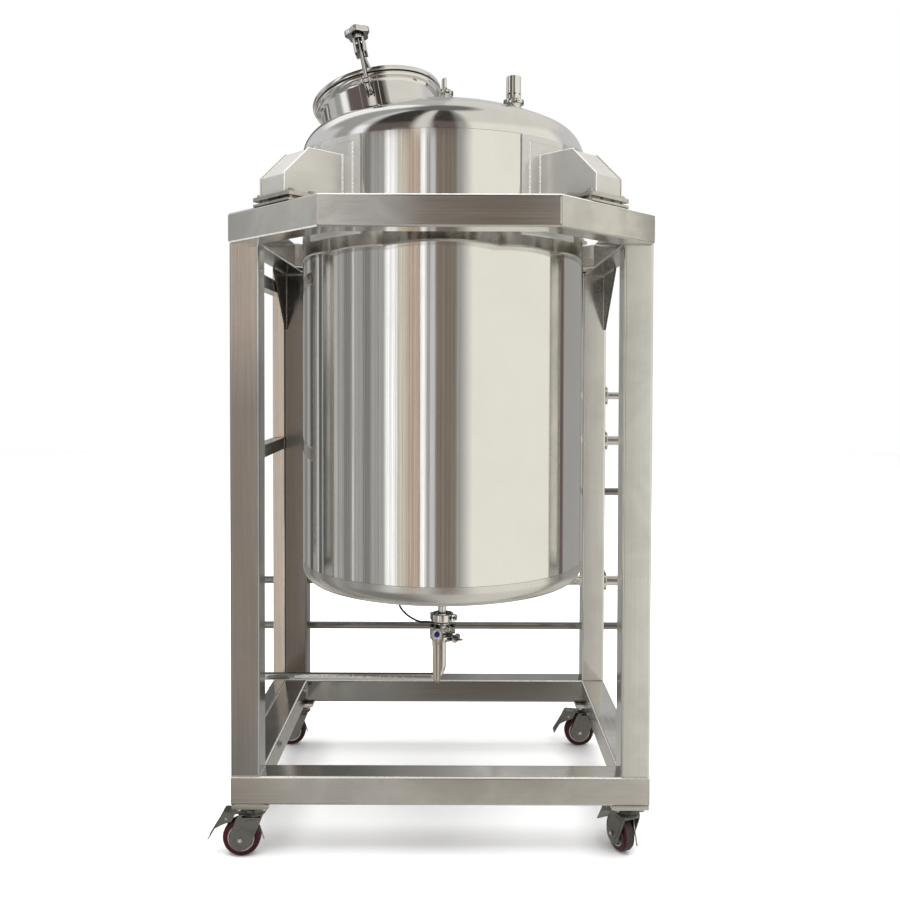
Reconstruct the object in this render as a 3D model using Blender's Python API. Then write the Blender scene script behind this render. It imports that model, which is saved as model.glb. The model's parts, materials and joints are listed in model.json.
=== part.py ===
"""Vertical storage tank on a wheeled stand, one closed solid per named piece.

Metres, +Z up, floor at Z = 0. The tank's axis stands at X = 0, Y = -MID_Y,
so that the whole object's box is centred on the origin. The front is at -Y.
"""
import math

import bmesh
import bpy
from mathutils import Matrix, Vector

# Overall sizes, read from the photograph with the stand 1.10 m wide
HALF_W = 0.55
TUBE = 0.0762
TUBE_CORNER = 0.006
GAP = 0.0003

# Stand heights and depths
FOOT_Z = 0.140
BASE_Z = 0.155
RING_Z = 1.6255
FRONT_Y = -0.270
REAR_Y = 0.550
RING_LEG = 0.270
RING_SIDE = -0.550
PAD_SIZE = 0.100

# Casters
WHEEL_R = 0.050
WHEEL_W = 0.032
TRAIL = 0.032
AXLE_R = 0.006
AXLE_PLAY = 0.00009
AXLE_SIDES = 24
PLATE_IN = 0.0215
PLATE_OUT = 0.0255
CHEEK_R = 0.030
CHEEK_BENDS = 9
CASTER_TURN = {"fl": 180.0, "fr": 112.0, "rl": 180.0, "rr": 180.0}
# Brake lever from the side, distances from the swivel pin and heights above the floor
BRAKE_HALF = 0.020
BRAKE_LINE = ((0.022, 0.1120), (0.022, 0.1172), (0.078, 0.1215), (0.094, 0.0930), (0.121, 0.0480),
              (0.1185, 0.0470), (0.0915, 0.0915), (0.0765, 0.1185), (0.035, 0.1150))
BRAKE_FLANGE = ((0.060, 0.1175), (0.077, 0.1195), (0.094, 0.0920), (0.100, 0.0800), (0.077, 0.0900))

# Tank
TANK_R = 0.400
WALL = 0.008
SHELL_LOW = 0.7624
SHELL_HIGH = 1.8897
TOP_CROWN = 0.800
TOP_DEPTH = 0.160
TOP_KNUCKLE = 0.085
LOW_CROWN = 1.400
LOW_DEPTH = 0.0900
LOW_KNUCKLE = 0.042
LOW_FLANGE = 0.014
TURNS = 72

# Lugs and load cells, radial distances from the tank's axis
LUG_OUT = 0.580
LUG_RIDGE = 0.508
LUG_W = 0.107
LUG_TOP = 1.842
LUG_LIP = 1.771
LUG_LOW = 1.7245
PAD_T = 0.005
BIG_PAD = (15.0, 1.640, 1.8890)
SMALL_PAD = (10.0, 1.670, 1.8700)
CELL_IN = 0.495
CELL_OUT = 0.5865
CELL_W = 0.155

# Manway, a frame tilted back and to the left
MAN_CENTRE = Vector((-0.197, 0.063, 2.0975))
MAN_AXIS = Vector((-0.1933, 0.1681, 0.9666)).normalized()
NECK_R = 0.170
NECK_WALL = 0.006
LIP_R = 0.185
LID_R = 0.190
LID_RISE = 0.050
BOLT_R = 0.209
BOLT_S = -0.0473
KNOB_S = 0.0917
BOLT_TURN = -3.4
# Swing bolt's arm over the lid, seen from the side: distance from the lid's axis, height above the lid
ARM_LINE = ((0.223, 0.030), (0.223, 0.074), (0.195, 0.074), (0.165, 0.062), (0.100, 0.066),
            (0.000, 0.082), (-0.120, 0.074), (-0.221, -0.006), (-0.221, -0.026), (-0.203, -0.026),
            (-0.120, 0.054), (0.000, 0.058), (0.100, 0.043), (0.184, 0.030))

# Top fittings: x, y, ferrule foot height, clamp radius, body radius, body height
RELIEF = (0.1955, -0.100, 2.0320, 0.0288, 0.0205, 0.0635)
VENT = (-0.001, 0.170, 2.1400, 0.0288, 0.0140, 0.0400)

# Outlet below the tank
OUT_PIPE_R = 0.0122
DRAIN_R = 0.0110
DRAIN_Z = 0.4057
DRAIN_END = -0.600
VALVE_Z = 0.5460
BLOCK_R = 0.0155
HANDLE_X = -0.0143
HANDLE_Z = 0.5458
HANDLE_Y = -0.052
# Sensor cable from the low head round behind the valve
CABLE = ((-0.1350, 0.030, 0.6650), (-0.1335, 0.030, 0.6400), (-0.1260, 0.031, 0.6050),
         (-0.1100, 0.033, 0.5830), (-0.0900, 0.036, 0.5670), (-0.0670, 0.040, 0.5560),
         (-0.0450, 0.041, 0.5550), (-0.0300, 0.037, 0.5550), (-0.0180, 0.030, 0.5535),
         (-0.0120, 0.024, 0.5490), (-0.0120, 0.0160, VALVE_Z))

# Pipes and rods behind the stand
SIDE_END = 0.660
BACK_PIPE_Y = 0.600
# Name, height at the tank, height behind the post, radius, where it leaves the tank
NOZZLES = (("nozzle_top", 1.212, 1.212, 0.0125, 0.150), ("nozzle_middle", 1.052, 1.052, 0.0160, 0.130),
           ("nozzle_low", 0.860, 0.550, 0.0180, 0.200))
ROD_R = 0.0125
ROD_Y = REAR_Y + ROD_R + 0.0005
RODS = (("rod_low", 0.397, -SIDE_END, SIDE_END), ("rod_middle", 0.558, -SIDE_END, 0.100),
        ("rod_high", 0.874, 0.380, SIDE_END))

# Rack on the left side
RACK = 0.040
RACK_X = -HALF_W - 0.0003
RACK_FRONT = -0.085

MID_Y = 0.0345


def clear_scene():
    for item in list(bpy.data.objects):
        bpy.data.objects.remove(item, do_unlink=True)


def paint(name, colour, metallic, rough):
    mat = bpy.data.materials.new(name)
    mat.use_nodes = True
    shader = mat.node_tree.nodes["Principled BSDF"]
    shader.inputs["Base Color"].default_value = (*colour, 1.0)
    shader.inputs["Metallic"].default_value = metallic
    shader.inputs["Roughness"].default_value = rough
    return mat


LOOKS = {
    "brushed": ((0.62, 0.60, 0.57), 1.0, 0.35),
    "polished": ((0.78, 0.78, 0.77), 1.0, 0.12),
    "shell": ((0.70, 0.69, 0.67), 1.0, 0.22),
    "zinc": ((0.45, 0.46, 0.47), 1.0, 0.40),
    "red": ((0.30, 0.05, 0.04), 0.0, 0.55),
    "black": ((0.02, 0.02, 0.02), 0.0, 0.50),
}


def finish(obj, look, origin=None, smooth=True):
    """Own material, smooth round faces, and the origin moved to a joint's axis."""
    obj.data.materials.clear()
    obj.data.materials.append(paint("m_" + obj.name, *LOOKS[look]))
    for face in obj.data.polygons:
        face.material_index = 0
        face.use_smooth = smooth
    if smooth:
        obj.data.set_sharp_from_angle(angle=math.radians(32))
    if origin is not None:
        obj.data.transform(Matrix.Translation(-Vector(origin)))
        obj.location = Vector(origin)
    return obj


def mesh_object(name, bm):
    bmesh.ops.recalc_face_normals(bm, faces=bm.faces)
    mesh = bpy.data.meshes.new(name)
    bm.to_mesh(mesh)
    bm.free()
    obj = bpy.data.objects.new(name, mesh)
    bpy.context.scene.collection.objects.link(obj)
    return obj


def extrude(name, outline, low, high, frame=None):
    """A flat outline in local X and Y, pulled from low to high in local Z."""
    bm = bmesh.new()
    lower = [bm.verts.new((x, y, low)) for x, y in outline]
    upper = [bm.verts.new((x, y, high)) for x, y in outline]
    count = len(outline)
    bm.faces.new(lower)
    bm.faces.new(upper)
    for i in range(count):
        j = (i + 1) % count
        bm.faces.new((lower[i], lower[j], upper[j], upper[i]))
    if frame is not None:
        bm.transform(frame)
    return mesh_object(name, bm)


def rounded(half_a, half_b, radius, steps=3):
    """A rectangle with round corners, centred on zero."""
    points = []
    for cx, cy, start in ((1, 1, 0), (-1, 1, 90), (-1, -1, 180), (1, -1, 270)):
        for k in range(steps + 1):
            turn = math.radians(start + 90.0 * k / steps)
            points.append((cx * (half_a - radius) + radius * math.cos(turn),
                           cy * (half_b - radius) + radius * math.sin(turn)))
    return points


def circle(radius, steps, middle=(0.0, 0.0)):
    return [(middle[0] + radius * math.cos(2 * math.pi * k / steps),
             middle[1] + radius * math.sin(2 * math.pi * k / steps)) for k in range(steps)]


def axes(origin, direction, side=None):
    """A frame at origin whose local Z is direction and local X is nearest to side."""
    z_dir = Vector(direction).normalized()
    hint = Vector(side) if side is not None else Vector((0.0, 0.0, 1.0))
    if abs(z_dir.dot(hint.normalized())) > 0.99:
        hint = Vector((1.0, 0.0, 0.0))
    x_dir = (hint - z_dir * z_dir.dot(hint)).normalized()
    y_dir = z_dir.cross(x_dir)
    turn = Matrix((x_dir, y_dir, z_dir)).transposed().to_4x4()
    return Matrix.Translation(Vector(origin)) @ turn


def box(name, low, high):
    outline = [(low[0], low[1]), (high[0], low[1]), (high[0], high[1]), (low[0], high[1])]
    return extrude(name, outline, low[2], high[2])


def bar(name, low, high, along, corner=TUBE_CORNER):
    """A square tube between two corners, its long edges rounded."""
    middle = [(a + b) / 2 for a, b in zip(low, high)]
    half = [(b - a) / 2 for a, b in zip(low, high)]
    if along == "X":
        frame = axes(middle, (1, 0, 0), (0, 1, 0))
        return extrude(name, rounded(half[1], half[2], corner), -half[0], half[0], frame)
    if along == "Y":
        frame = axes(middle, (0, 1, 0), (1, 0, 0))
        return extrude(name, rounded(half[0], half[2], corner), -half[1], half[1], frame)
    frame = axes(middle, (0, 0, 1), (1, 0, 0))
    return extrude(name, rounded(half[0], half[1], corner), -half[2], half[2], frame)


def rod(name, start, end, radius, steps=16):
    span = Vector(end) - Vector(start)
    frame = axes(start, span)
    return extrude(name, circle(radius, steps), 0.0, span.length, frame)


def lathe(name, outline, steps, frame=None):
    """A closed outline of (radius, height) points turned about local Z."""
    bm = bmesh.new()
    rings = []
    for radius, height in outline:
        if radius < 1e-6:
            rings.append([bm.verts.new((0.0, 0.0, height))])
            continue
        rings.append([bm.verts.new((x, y, height)) for x, y in circle(radius, steps)])
    for i in range(len(rings)):
        a, b = rings[i], rings[(i + 1) % len(rings)]
        if len(a) == 1 and len(b) == 1:
            continue
        for k in range(steps):
            m = (k + 1) % steps
            if len(a) == 1:
                bm.faces.new((a[0], b[k], b[m]))
            elif len(b) == 1:
                bm.faces.new((a[k], a[m], b[0]))
            else:
                bm.faces.new((a[k], a[m], b[m], b[k]))
    if frame is not None:
        bm.transform(frame)
    return mesh_object(name, bm)


def sweep(name, path, radius, steps=14):
    """A round bar along a list of points, mitred at each point."""
    points = [Vector(p) for p in path]
    bm = bmesh.new()
    first = (points[1] - points[0]).normalized()
    frame = axes(points[0], first)
    x_dir = frame.to_3x3().col[0].copy()
    rings = []
    for i, point in enumerate(points):
        before = (point - points[i - 1]).normalized() if i > 0 else first
        after = (points[i + 1] - point).normalized() if i + 1 < len(points) else before
        if i > 0:
            x_dir = (x_dir - before * x_dir.dot(before)).normalized()
        y_dir = before.cross(x_dir)
        normal = (before + after).normalized()
        ring = []
        for x, y in circle(radius, steps):
            spoke = x_dir * x + y_dir * y
            ring.append(bm.verts.new(point + spoke - before * (spoke.dot(normal) / before.dot(normal))))
        rings.append(ring)
    for a, b in zip(rings, rings[1:]):
        for k in range(steps):
            m = (k + 1) % steps
            bm.faces.new((a[k], a[m], b[m], b[k]))
    bm.faces.new(rings[0])
    bm.faces.new(rings[-1])
    return mesh_object(name, bm)


def corner_path(points, radius, steps=4):
    """The same points with each inner corner turned into a bend."""
    path = [Vector(points[0])]
    for i in range(1, len(points) - 1):
        here = Vector(points[i])
        back = (Vector(points[i - 1]) - here).normalized()
        on = (Vector(points[i + 1]) - here).normalized()
        half = back.angle(on) / 2
        reach = radius / math.tan(half)
        centre = here + (back + on).normalized() * (radius / math.sin(half))
        start = (here + back * reach - centre).normalized()
        end = (here + on * reach - centre).normalized()
        for k in range(steps + 1):
            path.append(centre + start.slerp(end, k / steps) * radius)
    path.append(Vector(points[-1]))
    return path


def merge(target, others, operation="UNION"):
    """Join or cut with exact booleans, then drop the tools."""
    for tool in others:
        tool.hide_render = True
        tool.display_type = "WIRE"
        step = target.modifiers.new("join", "BOOLEAN")
        step.operation = operation
        step.solver = "EXACT"
        step.object = tool
    graph = bpy.context.evaluated_depsgraph_get()
    mesh = bpy.data.meshes.new_from_object(target.evaluated_get(graph))
    target.modifiers.clear()
    target.data = mesh
    for tool in others:
        bpy.data.objects.remove(tool, do_unlink=True)
    return target


# Stand


def add_base():
    """Four base rails; the front and rear ones carry the caster plates."""
    top = BASE_Z + TUBE
    for name, y0 in (("base_front", FRONT_Y), ("base_rear", REAR_Y - TUBE)):
        rail = bar(name, (-HALF_W, y0, BASE_Z), (HALF_W, y0 + TUBE, top), "X")
        pads = []
        pad_y = FRONT_Y if y0 == FRONT_Y else REAR_Y - PAD_SIZE
        for sign in (-1, 1):
            edge = sign * HALF_W
            inner = edge - sign * PAD_SIZE
            low_x, high_x = min(edge, inner), max(edge, inner)
            pads.append(box("pad", (low_x + 0.001, pad_y + 0.001, FOOT_Z),
                            (high_x - 0.001, pad_y + PAD_SIZE - 0.001, BASE_Z + 0.002)))
        finish(merge(rail, pads), "brushed")
    for name, x0 in (("base_left", -HALF_W), ("base_right", HALF_W - TUBE)):
        rail = bar(name, (x0, FRONT_Y + TUBE + GAP, BASE_Z + 0.0025),
                   (x0 + TUBE, REAR_Y - TUBE - GAP, top), "Y")
        finish(rail, "brushed")


def add_posts():
    low = BASE_Z + TUBE + GAP
    for name, x0, y0 in (("post_fl", -HALF_W, FRONT_Y), ("post_fr", HALF_W - TUBE, FRONT_Y),
                         ("post_rl", -HALF_W, REAR_Y - TUBE),
                         ("post_rr", HALF_W - TUBE, REAR_Y - TUBE)):
        post = bar(name, (x0, y0, low), (x0 + TUBE, y0 + TUBE, RING_Z - GAP), "Z")
        finish(post, "brushed")


def add_gussets():
    """Triangular plates between each rear post and the ring's side rail."""
    for name, sign in (("gusset_left", -1), ("gusset_right", 1)):
        front = REAR_Y - TUBE - GAP
        outline = [(front, RING_Z - GAP), (front - 0.200, RING_Z - GAP), (front - 0.200, RING_Z - 0.008),
                   (front - 0.008, RING_Z - 0.186), (front, RING_Z - 0.186)]
        frame = Matrix(((0, 0, 1, 0), (1, 0, 0, 0), (0, 1, 0, 0), (0, 0, 0, 1)))
        inner, outer = sorted((sign * (HALF_W - 0.008), sign * (HALF_W - 0.002)))
        finish(extrude(name, outline, inner, outer, frame), "brushed", smooth=False)


def ring_piece(name, corners):
    """A length of ring from its four plan corners, edges rounded by a bevel."""
    low, high = RING_Z, RING_Z + TUBE
    piece = extrude(name, corners, low, high)
    bm = bmesh.new()
    bm.from_mesh(piece.data)
    long_edges = []
    for edge in bm.edges:
        a, b = edge.verts
        flat = abs(a.co.z - b.co.z) < 1e-6
        if flat and (a.co - b.co).length > TUBE * 1.25:
            long_edges.append(edge)
    bmesh.ops.bevel(bm, geom=long_edges, offset=TUBE_CORNER, segments=2, profile=0.5,
                    affect="EDGES")
    bm.to_mesh(piece.data)
    bm.free()
    return finish(piece, "brushed")


def add_ring():
    """Octagon of mitred square tube; the rear corners carry on to the rear posts."""
    out_w, side = HALF_W, HALF_W - RING_LEG
    in_w = out_w - TUBE
    mitre = side - TUBE * math.tan(math.radians(22.5))
    slack = GAP / 2
    ring_piece("ring_front", [(-side + slack, RING_SIDE), (side - slack, RING_SIDE),
                              (mitre - slack, RING_SIDE + TUBE), (-mitre + slack, RING_SIDE + TUBE)])
    for name, sign in (("ring_front_left", -1), ("ring_front_right", 1)):
        low = RING_SIDE
        corners = [(side + slack, low + slack), (out_w - slack, low + RING_LEG - slack),
                   (in_w - slack, -mitre - slack), (mitre + slack, low + TUBE + slack)]
        ring_piece(name, [(sign * x, y) for x, y in corners])
    for name, sign in (("ring_left", -1), ("ring_right", 1)):
        corners = [(out_w, low + RING_LEG + slack), (out_w, REAR_Y), (in_w, REAR_Y),
                   (in_w, -mitre + slack)]
        ring_piece(name, [(sign * x, y) for x, y in corners])
    inner = REAR_Y - TUBE - GAP
    ring_piece("ring_rear", [(-in_w + GAP, inner + GAP), (in_w - GAP, inner + GAP),
                             (in_w - GAP, REAR_Y), (-in_w + GAP, REAR_Y)])
    total = HALF_W + side
    short = total - TUBE * math.sqrt(2)
    reach = in_w - GAP
    for name, sign in (("ring_rear_left", -1), ("ring_rear_right", 1)):
        corners = [(reach, total - reach), (total - inner, inner), (short - inner, inner),
                   (reach, short - reach)]
        ring_piece(name, [(sign * x, y) for x, y in corners])


def add_rack():
    """Light tube frame bolted on outside the left side."""
    x0, x1 = RACK_X - RACK, RACK_X
    base = BASE_Z + TUBE
    back = REAR_Y - TUBE
    rear = bar("rack_rear", (x0, back, base + GAP), (x1, back + RACK, RING_Z + 0.02), "Z", 0.003)
    finish(rear, "brushed")
    front = bar("rack_front", (x0, RACK_FRONT, base + GAP),
                (x1, RACK_FRONT + RACK, RING_Z + 0.02), "Z", 0.003)
    finish(front, "brushed")
    finish(bar("rack_base", (x0, RACK_FRONT, base - RACK), (x1, back + RACK, base), "Y", 0.003), "brushed")
    for name, z0 in (("rack_middle", 1.029), ("rack_top", 1.552)):
        rail = bar(name, (x0, RACK_FRONT + RACK + GAP, z0), (x1, back - GAP, z0 + RACK), "Y", 0.003)
        finish(rail, "brushed")


# Casters


def corner_positions():
    x = HALF_W - PAD_SIZE / 2
    front = FRONT_Y + PAD_SIZE / 2
    rear = REAR_Y - PAD_SIZE / 2
    return {"fl": (-x, front), "fr": (x, front), "rl": (-x, rear), "rr": (x, rear)}


def cheek_outline():
    """A fork cheek from the side: a flat top, straight edges and a round end about the axle."""
    top = [(-0.024, 0.104), (-0.026, 0.1170), (0.036, 0.1170), (0.044, 0.104)]
    centre = Vector((TRAIL, WHEEL_R))
    ends = []
    for corner, sign in ((Vector(top[-1]), -1), (Vector(top[0]), 1)):
        spoke = corner - centre
        ends.append(math.atan2(spoke.y, spoke.x) + sign * math.acos(CHEEK_R / spoke.length))
    first, last = ends[0], ends[1] - 2 * math.pi
    round_end = []
    for k in range(CHEEK_BENDS + 1):
        turn = first + (last - first) * k / CHEEK_BENDS
        round_end.append((TRAIL + CHEEK_R * math.cos(turn), WHEEL_R + CHEEK_R * math.sin(turn)))
    return top + round_end


def add_caster(tag, x, y, turn):
    """Swivel fork with brake lever, then the wheel. Local X points from pin to axle."""
    frame = Matrix.Translation((x, y, 0.0)) @ Matrix.Rotation(math.radians(turn), 4, "Z")
    side = Matrix(((1, 0, 0, 0), (0, 0, -1, 0), (0, 1, 0, 0), (0, 0, 0, 1)))
    name = "caster_fork_" + tag
    cap = FOOT_Z - GAP * 2
    head = lathe(name, [(0, 0.112), (0.030, 0.112), (0.034, 0.116), (0.034, 0.130), (0.030, 0.1345),
                        (0.011, 0.1345), (0.011, cap), (0, cap)], 20)
    crown = box("crown", (-0.026, -PLATE_OUT, 0.1065), (0.030, PLATE_OUT, 0.1175))
    extra = [crown]
    for sign in (-1, 1):
        low, high = sorted((sign * PLATE_IN, sign * PLATE_OUT))
        extra.append(extrude("cheek", cheek_outline(), low, high, side))
        low, high = sorted((sign * BRAKE_HALF, sign * (BRAKE_HALF - 0.0020)))
        extra.append(extrude("flange", BRAKE_FLANGE, low, high, side))
    extra.append(extrude("brake", BRAKE_LINE, -BRAKE_HALF, BRAKE_HALF, side))
    pin_frame = Matrix.Translation((TRAIL, 0.0, WHEEL_R)) @ side
    extra.append(extrude("axle", circle(AXLE_R, AXLE_SIDES), -PLATE_OUT - 0.006, PLATE_OUT + 0.006,
                         pin_frame))
    fork = merge(head, extra)
    fork.data.transform(frame)
    finish(fork, "zinc", (x, y, FOOT_Z))

    half = WHEEL_W / 2
    bore = AXLE_R + AXLE_PLAY
    outline = [(bore, -half - 0.004), (0.014, -half - 0.004), (0.016, -half), (WHEEL_R - 0.004, -half),
               (WHEEL_R, -half + 0.005), (WHEEL_R, half - 0.005), (WHEEL_R - 0.004, half),
               (0.016, half), (0.014, half + 0.004), (bore, half + 0.004)]
    wheel = lathe("caster_wheel_" + tag, outline, AXLE_SIDES, frame @ pin_frame)
    finish(wheel, "red", frame @ Vector((TRAIL, 0.0, WHEEL_R)))


def add_casters():
    for tag, (x, y) in corner_positions().items():
        add_caster(tag, x, y, CASTER_TURN[tag])


# Tank


def dish(crown, depth, knuckle, offset, points, bends):
    """Dished head section from the axis outward: (radius, height above the seam)."""
    reach = TANK_R - knuckle
    top_centre = depth - crown
    sink = depth - knuckle
    low, high = 0.0, depth
    for _ in range(60):
        middle = (low + high) / 2
        gap = math.hypot(reach, middle - top_centre) - (crown - knuckle)
        if gap > 0:
            high = middle
        else:
            low = middle
    centre_z = min(low, sink)
    turn = math.atan2(reach, centre_z - top_centre)
    section = []
    for k in range(points):
        angle = turn * k / (points - 1)
        section.append(((crown + offset) * math.sin(angle), top_centre + (crown + offset) * math.cos(angle)))
    for k in range(1, bends + 1):
        angle = turn + (math.pi / 2 - turn) * k / bends
        section.append((reach + (knuckle + offset) * math.sin(angle),
                        centre_z + (knuckle + offset) * math.cos(angle)))
    return section


def top_section(offset, points=5, bends=3):
    return dish(TOP_CROWN, TOP_DEPTH, TOP_KNUCKLE, offset, points, bends)


def low_section(offset, points=5, bends=3):
    return dish(LOW_CROWN, LOW_DEPTH, LOW_KNUCKLE, offset, points, bends)


def manway_frame():
    return axes(MAN_CENTRE, MAN_AXIS, (0, -1, 0)) @ Matrix.Rotation(math.radians(BOLT_TURN), 4, "Z")


def add_tank():
    inner = TANK_R - WALL
    shell = lathe("shell", [(TANK_R, SHELL_LOW), (TANK_R, SHELL_HIGH), (inner, SHELL_HIGH),
                            (inner, SHELL_LOW)], TURNS)
    finish(shell, "shell")

    outer = top_section(0.0)
    hollow = top_section(-WALL, 3, 2)
    seam = SHELL_HIGH + GAP
    outline = [(r, seam + z) for r, z in outer] + [(TANK_R, seam), (inner, seam)]
    outline += [(r, seam + z) for r, z in reversed(hollow)]
    head = lathe("top_head", outline, TURNS)
    bore = extrude("bore", circle(NECK_R - NECK_WALL, 40), -0.30, 0.05, manway_frame())
    finish(merge(head, [bore], "DIFFERENCE"), "polished")

    outer = low_section(0.0)
    hollow = low_section(-WALL, 3, 2)
    seam = SHELL_LOW - GAP
    edge = seam - LOW_FLANGE
    outline = [(r, edge - z) for r, z in outer] + [(TANK_R, seam), (inner, seam)]
    outline += [(r, edge - z) for r, z in reversed(hollow)]
    head = lathe("bottom_head", outline, TURNS)
    hole = extrude("hole", circle(OUT_PIPE_R - 0.002, 24), 0.60, 0.72)
    finish(merge(head, [hole], "DIFFERENCE"), "shell")


def curved_pad(inner, thickness, half_angle, low, high, toward):
    """A plate bent round the tank, its facets in step with the shell's."""
    step = 360.0 / TURNS
    count = int(round(half_angle / step))
    turns = [math.radians(toward + step * k) for k in range(-count, count + 1)]
    outline = [(inner * math.cos(t), inner * math.sin(t)) for t in turns]
    outline += [((inner + thickness) * math.cos(t), (inner + thickness) * math.sin(t))
                for t in reversed(turns)]
    return extrude("pad", outline, low, high)


def add_lug(tag, toward):
    """Two bent pads on the shell and a sloped box that stands on the load cell."""
    inner = TANK_R + GAP
    big = curved_pad(inner, PAD_T, BIG_PAD[0], BIG_PAD[1], BIG_PAD[2], toward)
    big.name = "lug_" + tag
    big.data.name = big.name
    small = curved_pad(inner + PAD_T / 2, PAD_T * 1.5, SMALL_PAD[0], SMALL_PAD[1], SMALL_PAD[2], toward)
    outline = [(TANK_R + 0.0035, LUG_LOW), (LUG_OUT, LUG_LOW), (LUG_OUT, LUG_LIP),
               (LUG_RIDGE, LUG_TOP), (TANK_R + 0.0035, LUG_TOP)]
    turn = math.radians(toward)
    spoke = Vector((math.cos(turn), math.sin(turn), 0.0))
    across = Vector((-math.sin(turn), math.cos(turn), 0.0))
    frame = Matrix((spoke, Vector((0, 0, 1)), spoke.cross(Vector((0, 0, 1))))).transposed().to_4x4()
    body = extrude("body", outline, -LUG_W / 2, LUG_W / 2, frame)
    finish(merge(big, [small, body]), "brushed")

    low = RING_Z + TUBE + GAP
    high = LUG_LOW - GAP
    name = "load_cell_" + tag
    radial = Matrix((spoke, across, Vector((0, 0, 1)))).transposed().to_4x4()
    lower = box(name, (CELL_IN, -CELL_W / 2, low), (CELL_OUT, CELL_W / 2, low + 0.006))
    core = box("core", (CELL_IN + 0.018, -CELL_W / 2 + 0.030, low + 0.003),
               (CELL_OUT - 0.018, CELL_W / 2 - 0.030, high - 0.003))
    upper = box("upper", (CELL_IN, -CELL_W / 2, high - 0.0095), (CELL_OUT, CELL_W / 2, high))
    extra = [core, upper]
    for sign in (-1, 1):
        for reach in (CELL_IN + 0.018, CELL_OUT - 0.018):
            middle = (reach, sign * (CELL_W / 2 - 0.0115))
            extra.append(extrude("bolt", circle(0.0085, 6, middle), high - 0.004, high + 0.008))
    cell = merge(lower, extra)
    cell.data.transform(radial)
    finish(cell, "zinc", smooth=False)


def add_lugs():
    for tag, toward in (("fl", 225.0), ("fr", 315.0), ("rl", 135.0), ("rr", 45.0)):
        add_lug(tag, toward)


# Top of the tank


def dome_tool(extra):
    """A solid in the shape of the tank below the outside of its top head."""
    seam = SHELL_HIGH + GAP
    outline = [(r, seam + z) for r, z in top_section(extra)]
    outline += [(TANK_R + extra, seam - 0.05), (0.0, seam - 0.05)]
    return lathe("dome", outline, TURNS)


def add_manway():
    """Neck with a lip and a clevis, the lid with its arm, and the swing bolt."""
    frame = manway_frame()
    neck = lathe("manway_neck", [(NECK_R - NECK_WALL, -0.200), (NECK_R, -0.200), (NECK_R, -0.030),
                                 (LIP_R - 0.004, -0.025), (LIP_R, -0.021), (LIP_R, -0.014),
                                 (LIP_R - 0.002, -0.0127), (NECK_R - NECK_WALL, -0.0127)], 40, frame)
    extra = []
    for sign in (-1, 1):
        low, high = sorted((sign * 0.0085, sign * 0.0135))
        ear = [(NECK_R - 0.003, BOLT_S - 0.013), (BOLT_R + 0.006, BOLT_S - 0.012),
               (BOLT_R + 0.013, BOLT_S - 0.004), (BOLT_R + 0.013, BOLT_S + 0.004),
               (BOLT_R + 0.006, BOLT_S + 0.010), (NECK_R - 0.003, BOLT_S + 0.013)]
        extra.append(extrude("ear", ear, low, high, frame @ side_frame()))
    pin = frame @ Matrix.Translation((BOLT_R, 0.0, BOLT_S)) @ side_frame()
    extra.append(extrude("pin", circle(0.0045, 24), -0.016, 0.016, pin))
    turns = [math.radians(4.5 * k) for k in range(-2, 3)]
    pad = [((NECK_R - 0.002) * math.cos(t), (NECK_R - 0.002) * math.sin(t)) for t in turns]
    pad += [((NECK_R + 0.004) * math.cos(t), (NECK_R + 0.004) * math.sin(t)) for t in reversed(turns)]
    extra.append(extrude("pad", pad, -0.120, -0.034, frame))
    hinge = box("hinge", (-BOLT_R - 0.014, -0.030, -0.060), (-NECK_R + 0.003, 0.030, -0.032))
    hinge.data.transform(frame)
    extra.append(hinge)
    merge(neck, extra)
    finish(merge(neck, [dome_tool(GAP)], "DIFFERENCE"), "polished")

    lid = lathe("manway_lid", [(0, -0.0123), (LID_R - 0.003, -0.0123), (LID_R, -0.009), (LID_R, -0.003),
                               (LID_R - 0.004, 0.0), (LID_R - 0.030, 0.002), (0.100, LID_RISE - 0.012),
                               (0.050, LID_RISE - 0.002), (0, LID_RISE)], 40, frame)
    extra = [rod_in(frame, (0, 0, LID_RISE - 0.01), (0, 0, 0.090), 0.020)]
    for sign in (-1, 1):
        low, high = sorted((sign * 0.0090, sign * 0.0160))
        extra.append(extrude("arm", ARM_LINE, low, high, frame @ side_frame()))
    finish(merge(lid, extra), "polished")

    bolt = lathe("swing_bolt", [(0.0046, -0.0060), (0.0085, -0.0060), (0.0085, 0.0060),
                                (0.0046, 0.0060)], 24, pin)
    shaft = rod_in(frame, (BOLT_R, 0, BOLT_S + 0.0070), (BOLT_R, 0, KNOB_S), 0.0050)
    knob = extrude("knob", lobed(0.036, 0.029, 5, 30), KNOB_S - 0.009, KNOB_S + 0.009,
                   frame @ Matrix.Translation((BOLT_R, 0, 0)))
    hub = lathe("hub", [(0, -0.0155), (0.010, -0.0155), (0.012, 0.0), (0.012, 0.014), (0, 0.016)], 16,
                frame @ Matrix.Translation((BOLT_R, 0, KNOB_S)))
    finish(merge(bolt, [shaft, knob, hub]), "polished", frame @ Vector((BOLT_R, 0.0, BOLT_S)))


def side_frame():
    """Turns an outline's X, Y into X, Z and its depth into Y."""
    return Matrix(((1, 0, 0, 0), (0, 0, -1, 0), (0, 1, 0, 0), (0, 0, 0, 1)))


def rod_in(frame, start, end, radius, steps=20):
    return rod("rod", frame @ Vector(start), frame @ Vector(end), radius, steps)


def lobed(outer, inner, lobes, steps):
    """A star knob's outline."""
    points = []
    for k in range(steps):
        turn = 2 * math.pi * k / steps
        radius = (outer + inner) / 2 + (outer - inner) / 2 * math.cos(lobes * turn)
        points.append((radius * math.cos(turn), radius * math.sin(turn)))
    return points


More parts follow.
